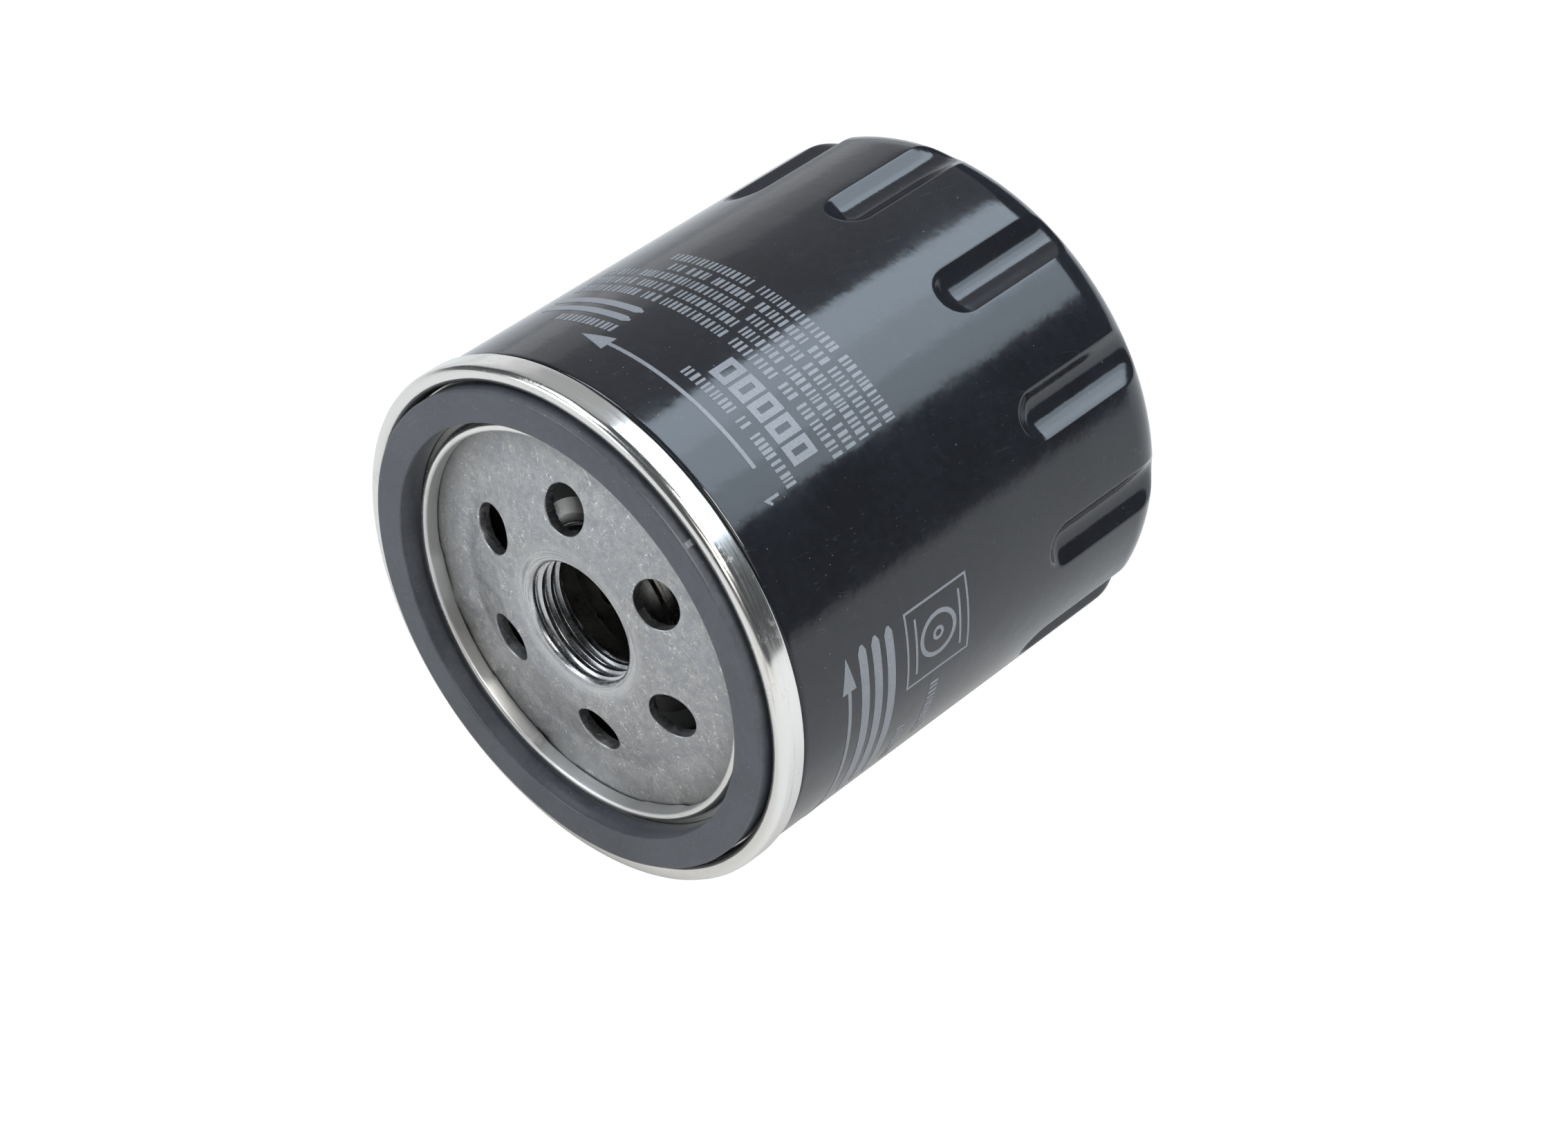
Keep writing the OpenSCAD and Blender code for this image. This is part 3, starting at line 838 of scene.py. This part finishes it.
def make_tapping_plate():
    """The tapping plate. Each inlet hole is punched square to the cone and sits in a cell, a ring of rays
    from the hole's edge to the cell's border. The cells join each other and the turned mouth and rim. A
    hole's wall is sheared smooth, then torn."""
    face, back = plate_sides()
    per_side = 38
    near, far = 13.2, 22.0
    half = TURN / INLETS / 2
    sweep = np.linspace(-half, half, per_side + 1)
    ray = np.linspace(near, far, per_side + 1)
    side = np.ones(per_side)
    border_r = np.concatenate([near * side, ray[:-1], far * side, ray[:0:-1], [near]])
    border_a = np.concatenate([sweep[:-1], half * side, sweep[:0:-1], -half * side, [-half]])
    border = np.stack([border_r * np.cos(border_a), border_r * np.sin(border_a)], -1)
    along, deep = math.cos(PLATE_SLOPE), math.sin(PLATE_SLOPE)
    theta = np.arctan2(border[:, 1], (border[:, 0] - INLET_CIRCLE) / along)
    ring = np.stack([np.cos(theta) * along, np.sin(theta)], -1)

    face_at = lambda r: np.interp(r, face[:, 0], face[:, 1])
    back_order = back[np.argsort(back[:, 0], kind="stable")]
    back_at = lambda r: np.interp(r, back_order[:, 0], back_order[:, 1])
    roll = 0.22
    grids = []
    for k in range(INLETS):
        turn = INLET_TURN + k * TURN / INLETS
        tear = 0.05 * waves(40 + k, theta, 0, count=9, turns=31)
        torn_from = 1.0 + 0.08 * waves(60 + k, theta, 0, count=7, turns=17)
        rings = [(INLET_R + roll * (1 - math.sin(bend)), roll * (1 - math.cos(bend)))
                 for bend in np.linspace(0, math.pi / 2, 6)]
        rings += [(INLET_R, roll + (torn_from - roll) * share) for share in np.linspace(0, 1, 5)[1:]]
        rings += [(INLET_R + 0.1 * share + tear * min(1.0, 3 * share) * (1 + 0.5 * math.sin(9 * share)),
                   torn_from + (PLATE_WALL - torn_from) * share) for share in np.linspace(0, 1, 6)[1:]]
        centre = np.array([INLET_CIRCLE, 0.0])
        points = []
        edge = centre + (INLET_R + roll) * ring
        for share in (1.0, 0.7, 0.42, 0.22, 0.1):
            flat = edge + share * (border - edge)
            points.append((flat, face_at(np.hypot(*flat.T))))
        for reach, depth in rings:
            flat = centre + np.broadcast_to(reach, theta.shape)[:, None] * ring
            surface = face_at(np.hypot(*flat.T))
            flat = flat - np.stack([depth * deep + 0 * theta, 0 * theta], -1)
            points.append((flat, surface + depth * along))
        last = points[-1][0]
        for share in (0.0, 0.15, 0.4, 0.7, 1.0):
            flat = last + share * (border - last)
            points.append((flat, back_at(np.hypot(*flat.T))))
        grids.append(np.stack([around(np.hypot(*flat.T), height, np.arctan2(flat[:, 1], flat[:, 0]) + turn)
                               for flat, height in points]))
    angles = INLET_TURN - half + np.linspace(0, TURN, INLETS * per_side + 1)
    start = 1.15
    lip = face[(face[:, 0] <= near) & (face[:, 1] < start)]
    grids.append(turned(np.concatenate([[(MOUTH_R, start)], lip, [(near, face_at(near))]]), angles))
    grids.append(thread_grid(angles, start, COLLAR_END))
    collar = back[back[:, 0] < near]
    grids.append(turned(np.concatenate([[(MOUTH_R, COLLAR_END)], collar, [(near, back_at(near))]]), angles))
    rim_face = subdivided(face[face[:, 0] > far], 0.5, closed=False)
    rim_back = back[back[:, 0] > far][::-1]
    rim = np.concatenate([[(far, face_at(far))], rim_face, rim_back, [(far, back_at(far))]])
    radius, height = rim[:, :1], rim[:, 1:]
    press = 0.0
    for at, push in RIM_PRESSES:
        press = press + push * np.exp(-(degrees_from(angles[None, :], at) / 2.4) ** 2)
    press = 0.2 * press * np.clip((radius - far) / 3, 0, 1) * np.clip((30.5 - radius) / 1.5, 0, 1)
    grids.append(around(radius, height + press * (height < LID_FLOOR + LID_WALL + 0.3), angles[None, :]))
    piece = mesh_piece("threaded_tapping_plate", grids, 40)
    return finish(piece, "casing", "plate_steel", PLATE_STEEL, "tapping_plate")


def make_compound():
    """The CAD's ring of compound inside the seam, in its own cured finish."""
    repaint("seam_compound", COMPOUND)


# ---------------------------------------------------------------- element pieces


def ring_piece(name, body, slot, material, node, corners, columns=192, spacing=3.0):
    """A turned ring from (radius, height, rounding) corners."""
    outline = looped(subdivided(rounded(corners), spacing))
    grid = turned(outline, full_turn(columns))
    return finish(mesh_piece(name, [grid], 40), body, slot, material, node)


def make_clamp_ring():
    """The pressed ring that clamps the rubber valve: a creased, dished washer with a rolled rim."""
    inner, outer, first, last = extent("drainback_clamp_ring")
    return ring_piece("valve_clamp_ring", "element", "cap_steel", SHEET_STEEL, "drainback_clamp_ring", [
        (inner, first, 0.1), (inner + 1.2, first + 0.05, 0.6), (15.0, first + 0.8, 1.2),
        (outer - 0.4, first + 1.15, 0.5), (outer, first + 1.25, 0.2), (outer, last, 0.2),
        (15.0, last - 0.45, 1.2), (inner + 1.2, last - 1.15, 0.6), (inner, last - 1.2, 0.1)], spacing=0.8)


def make_drainback_valve():
    """The rubber valve in one piece: a clamped middle, a thin flexing web and a skirt that seats."""
    inner, _, hub_first, hub_last = extent("drainback_hub")
    _, outer, seat, _ = extent("drainback_lip")
    outline = looped(subdivided(rounded([
        (inner, hub_first, 0.1), (17.3, hub_first, 0.5), (19.6, hub_first - 1.1, 1.2), (26.3, seat, 0.8),
        (27.4, seat, 0.2), (outer, seat + 0.05, 0.2), (outer, seat + 0.7, 0.3), (26.9, seat + 0.95, 0.8),
        (19.6, hub_first + 0.05, 1.5), (17.4, hub_last - 0.2, 0.8), (inner, hub_last, 0.2)]), 0.5))
    piece = mesh_piece("drainback_valve_rubber", [turned(outline, full_turn(192))], 45)
    finish(piece, None, "valve_rubber", VALVE_RUBBER, "drainback_hub", "drainback_lip")
    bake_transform(piece)
    return piece


def cap_outline(neck_r, neck_end, cap, rim_r, rim_end, sheet=0.5):
    """The section of an end cap: a neck or inner lip, a flat floor with a pressed bead, and an outer rim."""
    out = 1 if rim_end > cap else -1
    far = cap + out * sheet
    bead = (neck_r + rim_r) / 2
    return [(neck_r - sheet, neck_end, 0.1), (neck_r, neck_end, 0.1), (neck_r, cap, 0.25),
            (bead - 2.4, cap, 0.6), (bead - 1.4, cap + out * 0.3, 0.6), (bead + 1.4, cap + out * 0.3, 0.6),
            (bead + 2.4, cap, 0.6), (rim_r, cap, 0.7), (rim_r, rim_end, 0.1), (rim_r - sheet, rim_end, 0.1),
            (rim_r - sheet, far, 0.4), (bead + 2.4, far, 0.4), (bead + 1.4, far + out * 0.3, 0.4),
            (bead - 1.4, far + out * 0.3, 0.4), (bead - 2.4, far, 0.4), (neck_r - sheet, far, 0.3)]


def make_lower_cap():
    """The lower end cap, with the neck that seats on the collar."""
    inner, outer, first, last = extent("lower_end_cap")
    return ring_piece("lower_end_cap_pressing", "element", "cap_steel", SHEET_STEEL, "lower_end_cap",
                      cap_outline(inner + 0.5, first, last - 4, outer, last), spacing=1.2)


def make_upper_cap():
    """The upper end cap, open in the middle for the bypass valve."""
    inner, outer, first, last = extent("upper_end_cap")
    sheet = 0.5
    return ring_piece("upper_end_cap_pressing", "element", "cap_steel", SHEET_STEEL, "upper_end_cap", [
        (inner, last - sheet, 0.1), (outer - sheet, last - sheet, 0.3), (outer - sheet, first, 0.1),
        (outer, first, 0.1), (outer, last, 0.7), (22.6, last, 0.4), (21.8, last - 0.25, 0.4),
        (19.4, last - 0.25, 0.4), (18.6, last, 0.4), (inner, last, 0.1)], spacing=1.2)


def make_adhesive(node, name, seed):
    """A bead of adhesive with an uneven skin towards the paper."""
    inner, outer, first, last = extent(node)
    angle = full_turn(216)[None, :]
    outline = looped(subdivided(rounded([(inner, first, 0.1), (inner, last, 0.1), (outer, last, 0.1),
                                         (outer, first, 0.1)]), 0.9))
    radius, height = outline[:, :1], outline[:, 1:]
    toward = 1 if node.startswith("lower") else -1
    skin = np.clip(((height - first) if toward > 0 else (last - height)) / (last - first), 0, 1) ** 4
    dip = 0.16 * (1 + waves(seed, angle, radius, turns=27)) / 2 * skin
    grid = around(radius, height - toward * np.abs(dip), angle)
    return finish(mesh_piece(name, [grid], 50), "element", "adhesive", ADHESIVE, node)


def make_media():
    """The pleated paper. The sheet's middle line swings between the two radii once a pleat, with round folds;
    the paper's two faces lie half its thickness either side of it, and the folds lean a little along Y."""
    inner, outer, first, last = extent("pleated_media")
    pleats, paper, per_pleat = 54, 0.42, 16
    across = np.linspace(0, TURN, pleats * per_pleat + 1)
    phase = across * pleats
    swing = np.arcsin(np.sin(phase) * 0.985) / math.asin(0.985)
    middle, reach = (inner + outer) / 2, (outer - inner) / 2 - paper / 2
    height = np.linspace(first, last, 28)[:, None]
    bow = 0.010 * np.sin((height - first) / (last - first) * math.pi)
    lean = bow * waves(71, across[None, :], height, turns=9)
    base = middle + reach * swing[None, :]
    squeeze = 1 - 0.02 * (1 + waves(73, across[None, :], height * 0.5, turns=13)) / 2
    centre = middle + (base - middle) * squeeze
    angle = across[None, :] + lean
    spot = np.stack([centre * np.cos(angle), centre * np.sin(angle)], -1)
    tangent = np.gradient(spot, axis=1)
    tangent[:, 0] = tangent[:, -1] = (spot[:, 1] - spot[:, -2]) / 2
    tangent /= np.linalg.norm(tangent, axis=-1, keepdims=True)
    side = np.stack([tangent[..., 1], -tangent[..., 0]], -1) * paper / 2
    tall = np.broadcast_to(height, centre.shape)
    faces = []
    for sign in (1, -1):
        flat = spot + sign * side
        faces.append(np.stack([flat[..., 0], tall, flat[..., 1]], -1))
    grid = np.concatenate([faces[0], faces[1][::-1], faces[0][:1]])
    return finish(mesh_piece("pleated_paper", [grid], 60), "element", "filter_paper", PAPER, "pleated_media")


def make_centre_tube():
    """The perforated centre tube. Each hole sits in a square cell of the unrolled tube, with rays from the
    hole's edge to the cell's border, outside and inside, and the hole's wall between them."""
    inner, outer, first, last = extent("centre_tube")
    rings, per_ring, hole_r, per_side = 5, 8, 2.1, 10
    tall, wide = (last - first) / rings, TURN * outer / per_ring
    sweep = np.linspace(-0.5, 0.5, per_side + 1)
    low, high = np.full(per_side, -0.5), np.full(per_side, 0.5)
    u = np.concatenate([sweep[:-1], high, sweep[:0:-1], low, [-0.5]]) * wide
    v = np.concatenate([low, sweep[:-1], high, sweep[:0:-1], [-0.5]]) * tall
    reach = np.hypot(u, v)
    rows = [(1.0, outer), (0.5, outer), (0.16, outer), (0.0, outer - 0.03), (0.0, inner + 0.03),
            (0.16, inner), (0.5, inner), (1.0, inner)]
    grids = []
    for ring in range(rings):
        for k in range(per_ring):
            middle = (k + 0.5 * (ring % 2)) * TURN / per_ring
            cell = []
            for share, radius in rows:
                out = hole_r + share * (reach - hole_r)
                flare = 0.12 * max(0.0, 1 - share * 6)
                cell.append(around(radius - flare, first + (ring + 0.5) * tall + v / reach * out,
                                   -(middle + u / reach * out / outer)))
            grids.append(np.stack(cell))
    seam = -np.linspace(0, TURN, per_ring * per_side + 1)
    for height in (first, last):
        grids.append(turned([(outer, height), (inner, height)], seam))
    return finish(mesh_piece("perforated_centre_tube", grids, 35), "element", "cap_steel", SHEET_STEEL,
                  "centre_tube")


def make_bypass_seat():
    """The flanged throat that the bypass valve closes."""
    inner, outer, first, last = extent("bypass_seat")
    sheet = 0.6
    return ring_piece("bypass_valve_seat", "element", "cap_steel", SHEET_STEEL, "bypass_seat", [
        (inner, first, 0.15), (inner + sheet, first, 0.15), (inner + sheet, last - sheet, 0.3),
        (outer, last - sheet, 0.15), (outer, last, 0.2), (inner, last, 0.7)], columns=96, spacing=1.0)


def make_bypass_seal():
    """The rubber face of the bypass valve, with the ring that the seat has pressed into it."""
    inner, outer, first, last = extent("bypass_seal")
    return ring_piece("bypass_seal_ring", "bypass_valve", "valve_rubber", VALVE_RUBBER, "bypass_seal", [
        (inner, first, 0.05), (inner, last, 0.15), (5.6, last, 0.15), (5.9, last - 0.07, 0.1),
        (6.7, last - 0.07, 0.1), (7.0, last, 0.15), (outer, last, 0.2), (outer, first, 0.1)],
        columns=96, spacing=0.6)


def make_bypass_disc():
    """The steel disc: a turned-up rim line, a riveted stem and the boss that centres the spring."""
    _, outer, first, last = extent("bypass_disc")
    outline = subdivided(rounded([
        (0, last, 0), (1.95, last, 0.25), (1.95, last - 1.8, 0.05), (outer, last - 1.8, 0.2),
        (outer, last - 2.6, 0.2), (4.0, last - 2.6, 0.2), (4.0, first, 0.15), (3.4, first, 0.15),
        (3.4, last - 2.6, 0.1), (0, last - 2.6, 0)], closed=False), 0.8, closed=False)
    return finish(mesh_piece("bypass_valve_disc", [turned(outline, full_turn(96))], 40), "bypass_valve",
                  "cap_steel", SHEET_STEEL, "bypass_disc")


def coil_path(radius, first, last, wire, turns, closed, steps=40):
    """A compression spring's middle line: the closed turns at both ends climb by one wire a turn, and the
    turns between them share the rest of the height."""
    turn = np.linspace(0, turns, int(turns * steps) + 1)
    rise = 1.02 * wire
    open_rise = last - first - 2 * closed * rise
    middle = np.clip((turn - closed) / (turns - 2 * closed), 0, 1)
    ends = np.minimum(turn, closed) + np.maximum(turn - turns + closed, 0)
    height = first + rise * ends + open_rise * middle
    angle = turn * TURN
    return around(radius + 0 * turn, height, angle), around(1 + 0 * turn, 0 * turn, angle)


def make_spring(name, node, turns, closed):
    """A round-wire spring with closed ends, which presses two parts apart."""
    inner, outer, first, last = extent(node)
    wire = outer - inner
    path, outward = coil_path((inner + outer) / 2, first + wire / 2, last - wire / 2, wire, turns, closed)
    rings = capped(tube(path, wire / 2, 14, outward))
    piece = mesh_piece(name, [rings], 50)
    finish(piece, None, "spring_steel", SPRING_STEEL, node)
    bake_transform(piece)
    return piece


def make_cage():
    """The bypass cage: a guide ring below and three legs that rise to the end cap with a soft bend."""
    inner, outer, first, last = extent("bypass_cage")
    sheet = 0.8
    floor = looped(subdivided(rounded([(inner, first, 0.1), (inner, first + sheet, 0.1),
                                       (outer, first + sheet, 0.2), (outer, first, 0.3)]), 0.8))
    grids = [turned(floor, full_turn(96))]
    section = rounded([(-2, 0, 0.15), (2, 0, 0.15), (2, sheet, 0.15), (-2, sheet, 0.15)])
    section = looped(subdivided(section, 1.0))
    for k in range(3):
        middle = math.radians(30 + 120 * k)
        rise = np.linspace(first + 0.05, last, 26)[:, None]
        bow = np.sin((rise - first) / (last - first) * math.pi)
        out = outer - 1.4 + section[None, :, 1] - 0.25 * bow
        side = section[None, :, 0] * (1 - 0.18 * bow)
        x = out * math.cos(middle) - side * math.sin(middle)
        z = out * math.sin(middle) + side * math.cos(middle)
        grids.append(capped(np.stack([x, np.broadcast_to(rise, x.shape), z], -1)))
    piece = mesh_piece("bypass_spring_cage", grids, 40)
    return finish(piece, "element", "cap_steel", SHEET_STEEL, "bypass_cage")


def make_spring_seat():
    """The dished ring that centres the hold-down spring on the element."""
    inner, outer, first, last = extent("spring_seat")
    sheet = 0.8
    return ring_piece("hold_down_spring_seat", "element", "cap_steel", SHEET_STEEL, "spring_seat", [
        (inner, first, 0.2), (outer, first, 0.8), (outer, last, 0.2), (outer - sheet, last, 0.2),
        (outer - sheet, first + sheet, 0.5), (inner, first + sheet, 0.2)], spacing=0.8)


def make_clip():
    """The CAD's strip over the paper's two ends, in pressed steel."""
    repaint("media_seam_clip", SHEET_STEEL)


# ---------------------------------------------------------------- print


def wrapped(name, outlines, thick=0.035):
    """Print on the can: flat shapes, each a grid of (angle in mm round the can, height) pairs, wrapped on the
    wall as a film of ink. A film is closed by the same grid just under the paint and by its rim."""
    grids = []
    for flat in outlines:
        angle, height = flat[..., 0] / CAN_R, flat[..., 1]
        top = around(CAN_R + thick, height, angle)
        low = around(CAN_R - 0.02, height, angle)
        grids += [top, low]
        if np.allclose(flat[:, 0], flat[:, -1]):
            grids += [np.stack([top[0], low[0]]), np.stack([top[-1], low[-1]])]
        else:
            grids.append(np.stack([np.concatenate([side[0], side[1:, -1], side[-1, -2::-1], side[-2::-1, 0]])
                                   for side in (top, low)]))
    return finish(mesh_piece(name, grids, 30), "casing", "print_ink", INK)


def bar(angle, height, long, tall, corner=0.3):
    """A plain bar: long round the can from an angle in mm, tall along Y, with its ends rounded."""
    u = np.linspace(0, 1, max(6, int(long / 1.2) + 6))
    into = np.clip(1 - np.minimum(u, 1 - u) * long / corner, 0, 1)
    pull = corner * (1 - np.sqrt(np.clip(1 - into ** 2, 0, 1)))
    v = np.array([0, 1])[:, None]
    around_mm = angle + u * long
    half = tall / 2 - pull
    return np.stack(np.broadcast_arrays(around_mm[None, :], height + (2 * v - 1) * half[None, :]), -1)


def stroke(points, width, closed=False):
    """A line of even width through (angle in mm, height) points, with its corners mitred."""
    path = np.array(points + points[:1] if closed else points, float)
    path = subdivided(path, 0.9, closed=False)
    along = np.diff(path, axis=0)
    along /= np.linalg.norm(along, axis=1, keepdims=True)
    before = np.concatenate([along[-1:] if closed else along[:1], along])
    after = np.concatenate([along, along[:1] if closed else along[-1:]])
    middle = before + after
    middle /= np.linalg.norm(middle, axis=1, keepdims=True)
    reach = width / 2 / np.clip((middle * after).sum(1, keepdims=True), 0.4, 1)
    side = np.stack([-middle[:, 1], middle[:, 0]], -1) * reach
    return np.stack([path + side, path - side])


def arrow(tail, base, tip, height, width, half):
    """A turning arrow: a thin line from its tail to the head's base, and a head that closes on its tip."""
    tail, base, tip = (at_degrees(angle) for angle in (tail, base, tip))
    u = np.linspace(0, 1, 9)[None, :]
    v = np.array([-1, 1])[:, None]
    head = np.stack(np.broadcast_arrays(base + (tip - base) * u, height + v * half * (1 - u)), -1)
    return [head, stroke([(tail, height), (base, height)], width)]


def word(seed, start, end, height, tall):
    """A stand-in for a printed word: short upright strokes, uneven in width and gap, between two angles."""
    rng = np.random.default_rng(seed)
    start, end = at_degrees(start), at_degrees(end)
    count = max(2, round((end - start) / 0.8))
    edges = np.cumsum(rng.uniform(0.6, 1.5, 2 * count - 1))
    edges = start + (end - start) * np.concatenate([[0], edges / edges[-1]])
    return [stroke([(edges[k] / 2 + edges[k + 1] / 2, height - tall / 2),
                    (edges[k] / 2 + edges[k + 1] / 2, height + tall / 2)], edges[k + 1] - edges[k])
            for k in range(0, 2 * count - 1, 2)]


def at_degrees(degrees):
    return math.radians(degrees) * CAN_R


# Rows of print: height, height of the strokes, and each word's first and last angle in degrees.
PRINT_ROWS = [
    (14.3, 1.75, [(48.6, 60.6), (62.8, 64.9), (67.0, 80.0)]),
    (14.2, 1.7, [(98.8, 115.0)]),
    (22.8, 1.75, [(48.3, 60.6), (62.4, 66.0), (68.2, 79.6), (81.8, 98.2), (99.6, 103.6), (105.4, 124.0)]),
    (25.3, 1.75, [(48.4, 53.5), (55.2, 68.4), (70.2, 80.6), (82.4, 98.0), (99.8, 108.6), (110.4, 124.0)]),
    (27.8, 1.75, [(48.5, 66.6), (68.4, 82.2), (84.6, 112.0), (114.0, 124.0)]),
    (30.3, 1.75, [(48.6, 63.2), (64.8, 69.0), (70.8, 83.4), (85.6, 95.2), (97.0, 102.2), (104.0, 107.4)]),
    (32.8, 1.75, [(48.5, 64.0), (66.0, 86.6), (89.0, 110.4)]),
    (28.4, 1.6, [(-25.7, -8.6)]),
    (23.3, 1.6, [(-29.0, -17.0)]),
]


def make_print():
    """Plain print in place of lettering: two turning arrows, a step number, rows of strokes, stripes and a
    frame with a ring."""
    wrapped("turning_arrow_upper", arrow(55.3, 95.7, 103.4, 11.2, 0.62, 1.45))
    wrapped("turning_arrow_lower", arrow(-40.0, 5.2, 13.2, 11.4, 0.62, 1.3))
    one = at_degrees(48.8)
    wrapped("step_number_one", [stroke([(one - 0.75, 10.35), (one, 9.75), (one, 11.9)], 0.42)])
    shapes = []
    for seed, (height, tall, words) in enumerate(PRINT_ROWS):
        for k, (start, end) in enumerate(words):
            shapes += word(100 * seed + k, start, end, height, tall)
    wrapped("instruction_rows", shapes)

    shapes = []
    for k, start in enumerate((51.4, 56.6, 61.8, 67.0, 72.2)):
        low, high = at_degrees(start) + 0.45, at_degrees(start + 4.3) - 0.45
        shapes.append(stroke([(low, 16.75), (high, 16.75), (high, 20.1), (low, 20.1)], 1.0, True))
    wrapped("size_boxes", shapes)

    wrapped("stripes_upper", [bar(at_degrees(98.4), height, at_degrees(27.0), 1.3, 0.5)
                              for height in (16.8, 19.2)])
    wrapped("stripes_lower", [bar(at_degrees(-29.0), height, at_degrees(42.6), 1.5, 0.5)
                              for height in (14.4, 16.9, 19.4)])
    left, right = at_degrees(-5.0), at_degrees(13.4)
    turn = np.linspace(0, TURN, 29)[:-1]
    ring = [((left + right) / 2 + 3.2 * math.cos(a), 28.5 + 3.2 * math.sin(a)) for a in turn]
    spot = [((left + right) / 2 + 0.8 * math.cos(a), 28.5 + 0.8 * math.sin(a)) for a in turn[::2]]
    wrapped("frame_mark", [stroke([(left, 22.6), (right, 22.6), (right, 34.4), (left, 34.4)], 0.36, True),
                           stroke(ring, 0.7, True), stroke(spot, 0.5, True),
                           stroke([(left + 1.6, 24.3), (right - 1.6, 24.3)], 0.4),
                           stroke([(left + 1.6, 32.8), (right - 1.6, 32.8)], 0.4)])


# ---------------------------------------------------------------- scene


def make_floor():
    """A plain pale table that the filter lies on. It glows a little, as a lit white sweep does, and ends a
    metre and a half away, so that low reflections meet the dim room beyond it."""
    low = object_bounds()[0].z / MM
    side = np.array([-1500.0, 1500.0])
    x, y = np.meshgrid(side, side, indexing="ij")
    floor = mesh_piece("pale_floor", [np.stack([x, y, np.full_like(x, low)], -1)])
    material = bpy.data.materials.new("pale_floor")
    material.use_nodes = True
    tree = material.node_tree
    tree.nodes.clear()
    output = add(tree, "OutputMaterial")
    plain = add(tree, "BsdfDiffuse", {"Color": grey(0.6)}).outputs[0]
    lit = add(tree, "Emission", {"Color": (1.0, 0.985, 0.965, 1), "Strength": 0.13}).outputs[0]
    glow = add(tree, "Emission", {"Color": grey(1.0), "Strength": 1.05}).outputs[0]
    soft = add(tree, "AddShader", {0: plain, 1: lit}).outputs[0]
    tree.links.new(seen_directly(tree, soft, glow), output.inputs[0])
    floor.data.materials.append(material)


def make_world():
    """A dim room for reflections, and white where the camera looks past the floor."""
    world = bpy.data.worlds.new("studio")
    world.use_nodes = True
    tree = world.node_tree
    tree.nodes.clear()
    dim = add(tree, "Background", {"Color": (0.85, 0.92, 1.0, 1), "Strength": 0.08}).outputs[0]
    white = add(tree, "Background", {"Color": grey(1.0), "Strength": 1.0}).outputs[0]
    tree.links.new(seen_directly(tree, dim, white), add(tree, "OutputWorld").inputs[0])
    bpy.context.scene.world = world


def softbox(name, place, target, size, watts, colour):
    """A rectangular area light aimed at a point."""
    data = bpy.data.lights.new(name, "AREA")
    data.shape = "RECTANGLE"
    data.size, data.size_y = size
    data.energy = watts
    data.color = colour
    light = bpy.data.objects.new(name, data)
    light.location = place
    light.rotation_euler = (Vector(target) - Vector(place)).to_track_quat("-Z", "Y").to_euler()
    bpy.context.scene.collection.objects.link(light)
    return light


def axis_strip(name, turn, distance, size, along, glow, colour):
    """A softbox whose long side runs along the filter's axis: turn degrees round the axis from +X towards +Z,
    centred at a place along Y, and facing the axis. glow is its radiance, size is (across, along)."""
    turn = math.radians(turn)
    place = (distance * math.cos(turn), along, distance * math.sin(turn))
    light = softbox(name, place, (0, along, 0), size, glow * math.pi * size[0] * size[1], colour)
    light.rotation_euler = (0, math.pi / 2 - turn, 0)
    return light


# Softboxes along the axis: name, degrees round it, distance, width across, length, middle along Y, radiance.
COOL, PALE = (0.74, 0.87, 1.0), (0.95, 0.97, 1.0)
STRIPS = [
    ("overhead_strip_low", 55.5, 0.8, 0.242, 0.62, 0.64, 3.6, COOL),
    ("overhead_strip_middle", 72.5, 0.8, 0.242, 0.62, 0.64, 5.0, COOL),
    ("overhead_strip_high", 91.4, 0.8, 0.289, 0.62, 0.64, 5.9, COOL),
    ("left_panel_high", 128.0, 1.15, 1.03, 1.5, 0.85, 0.36, PALE),
    ("left_panel_middle", 159.8, 1.15, 0.31, 1.5, 0.85, 0.64, PALE),
    ("left_panel_low", 174.8, 1.15, 0.28, 1.5, 0.85, 0.9, PALE),
]


def make_lights():
    """The softboxes along the axis, and four that face the filter from the front and from the right."""
    for name, turn, distance, across, length, along, glow, colour in STRIPS:
        axis_strip(name, turn, distance, (across, length), along, glow, colour)
    centre = (0.0, 0.0, 0.0)
    softbox("top_right_softbox", (0.65, -0.02, 0.85), centre, (0.45, 0.45), 9.0, (1.0, 0.985, 0.96))
    softbox("front_softbox", (-0.5, -0.5, 0.78), centre, (0.4, 0.4), 4.0, (0.90, 0.95, 1.0))
    softbox("front_card", (-0.62, -0.95, 0.26), centre, (0.6, 0.4), 3.0, (0.90, 0.95, 1.0))
    softbox("side_fill", (0.75, -0.8, 0.6), centre, (0.5, 0.5), 1.5, (1.0, 0.98, 0.95))


def make_camera():
    """A long lens above the open end's right, with no shift."""
    data = bpy.data.cameras.new("camera")
    data.sensor_width = 36.0
    data.lens = 88.5
    data.clip_start = 0.01
    camera = bpy.data.objects.new("camera", data)
    camera.location = (0.28034, -0.26268, 0.32765)
    look = Vector((-0.52367, 0.56502, -0.63760))
    camera.rotation_euler = look.to_track_quat("-Z", "Y").to_euler()
    bpy.context.scene.collection.objects.link(camera)
    bpy.context.scene.camera = camera


def main():
    make_camera()
    make_can()
    make_seam()
    make_gasket()
    make_tapping_plate()
    make_compound()
    make_clamp_ring()
    make_drainback_valve()
    make_lower_cap()
    make_adhesive("lower_adhesive", "lower_adhesive_bead", 81)
    make_media()
    make_clip()
    make_adhesive("upper_adhesive", "upper_adhesive_bead", 83)
    make_upper_cap()
    make_centre_tube()
    make_bypass_seat()
    make_bypass_seal()
    make_bypass_disc()
    make_spring("bypass_valve_spring", "bypass_spring", 4.2, 0.7)
    make_cage()
    make_spring_seat()
    make_spring("hold_down_coil_spring", "hold_down_spring", 4.2, 0.8)
    make_print()
    make_floor()
    make_world()
    make_lights()
    bpy.context.scene.view_settings.view_transform = "Standard"


main()
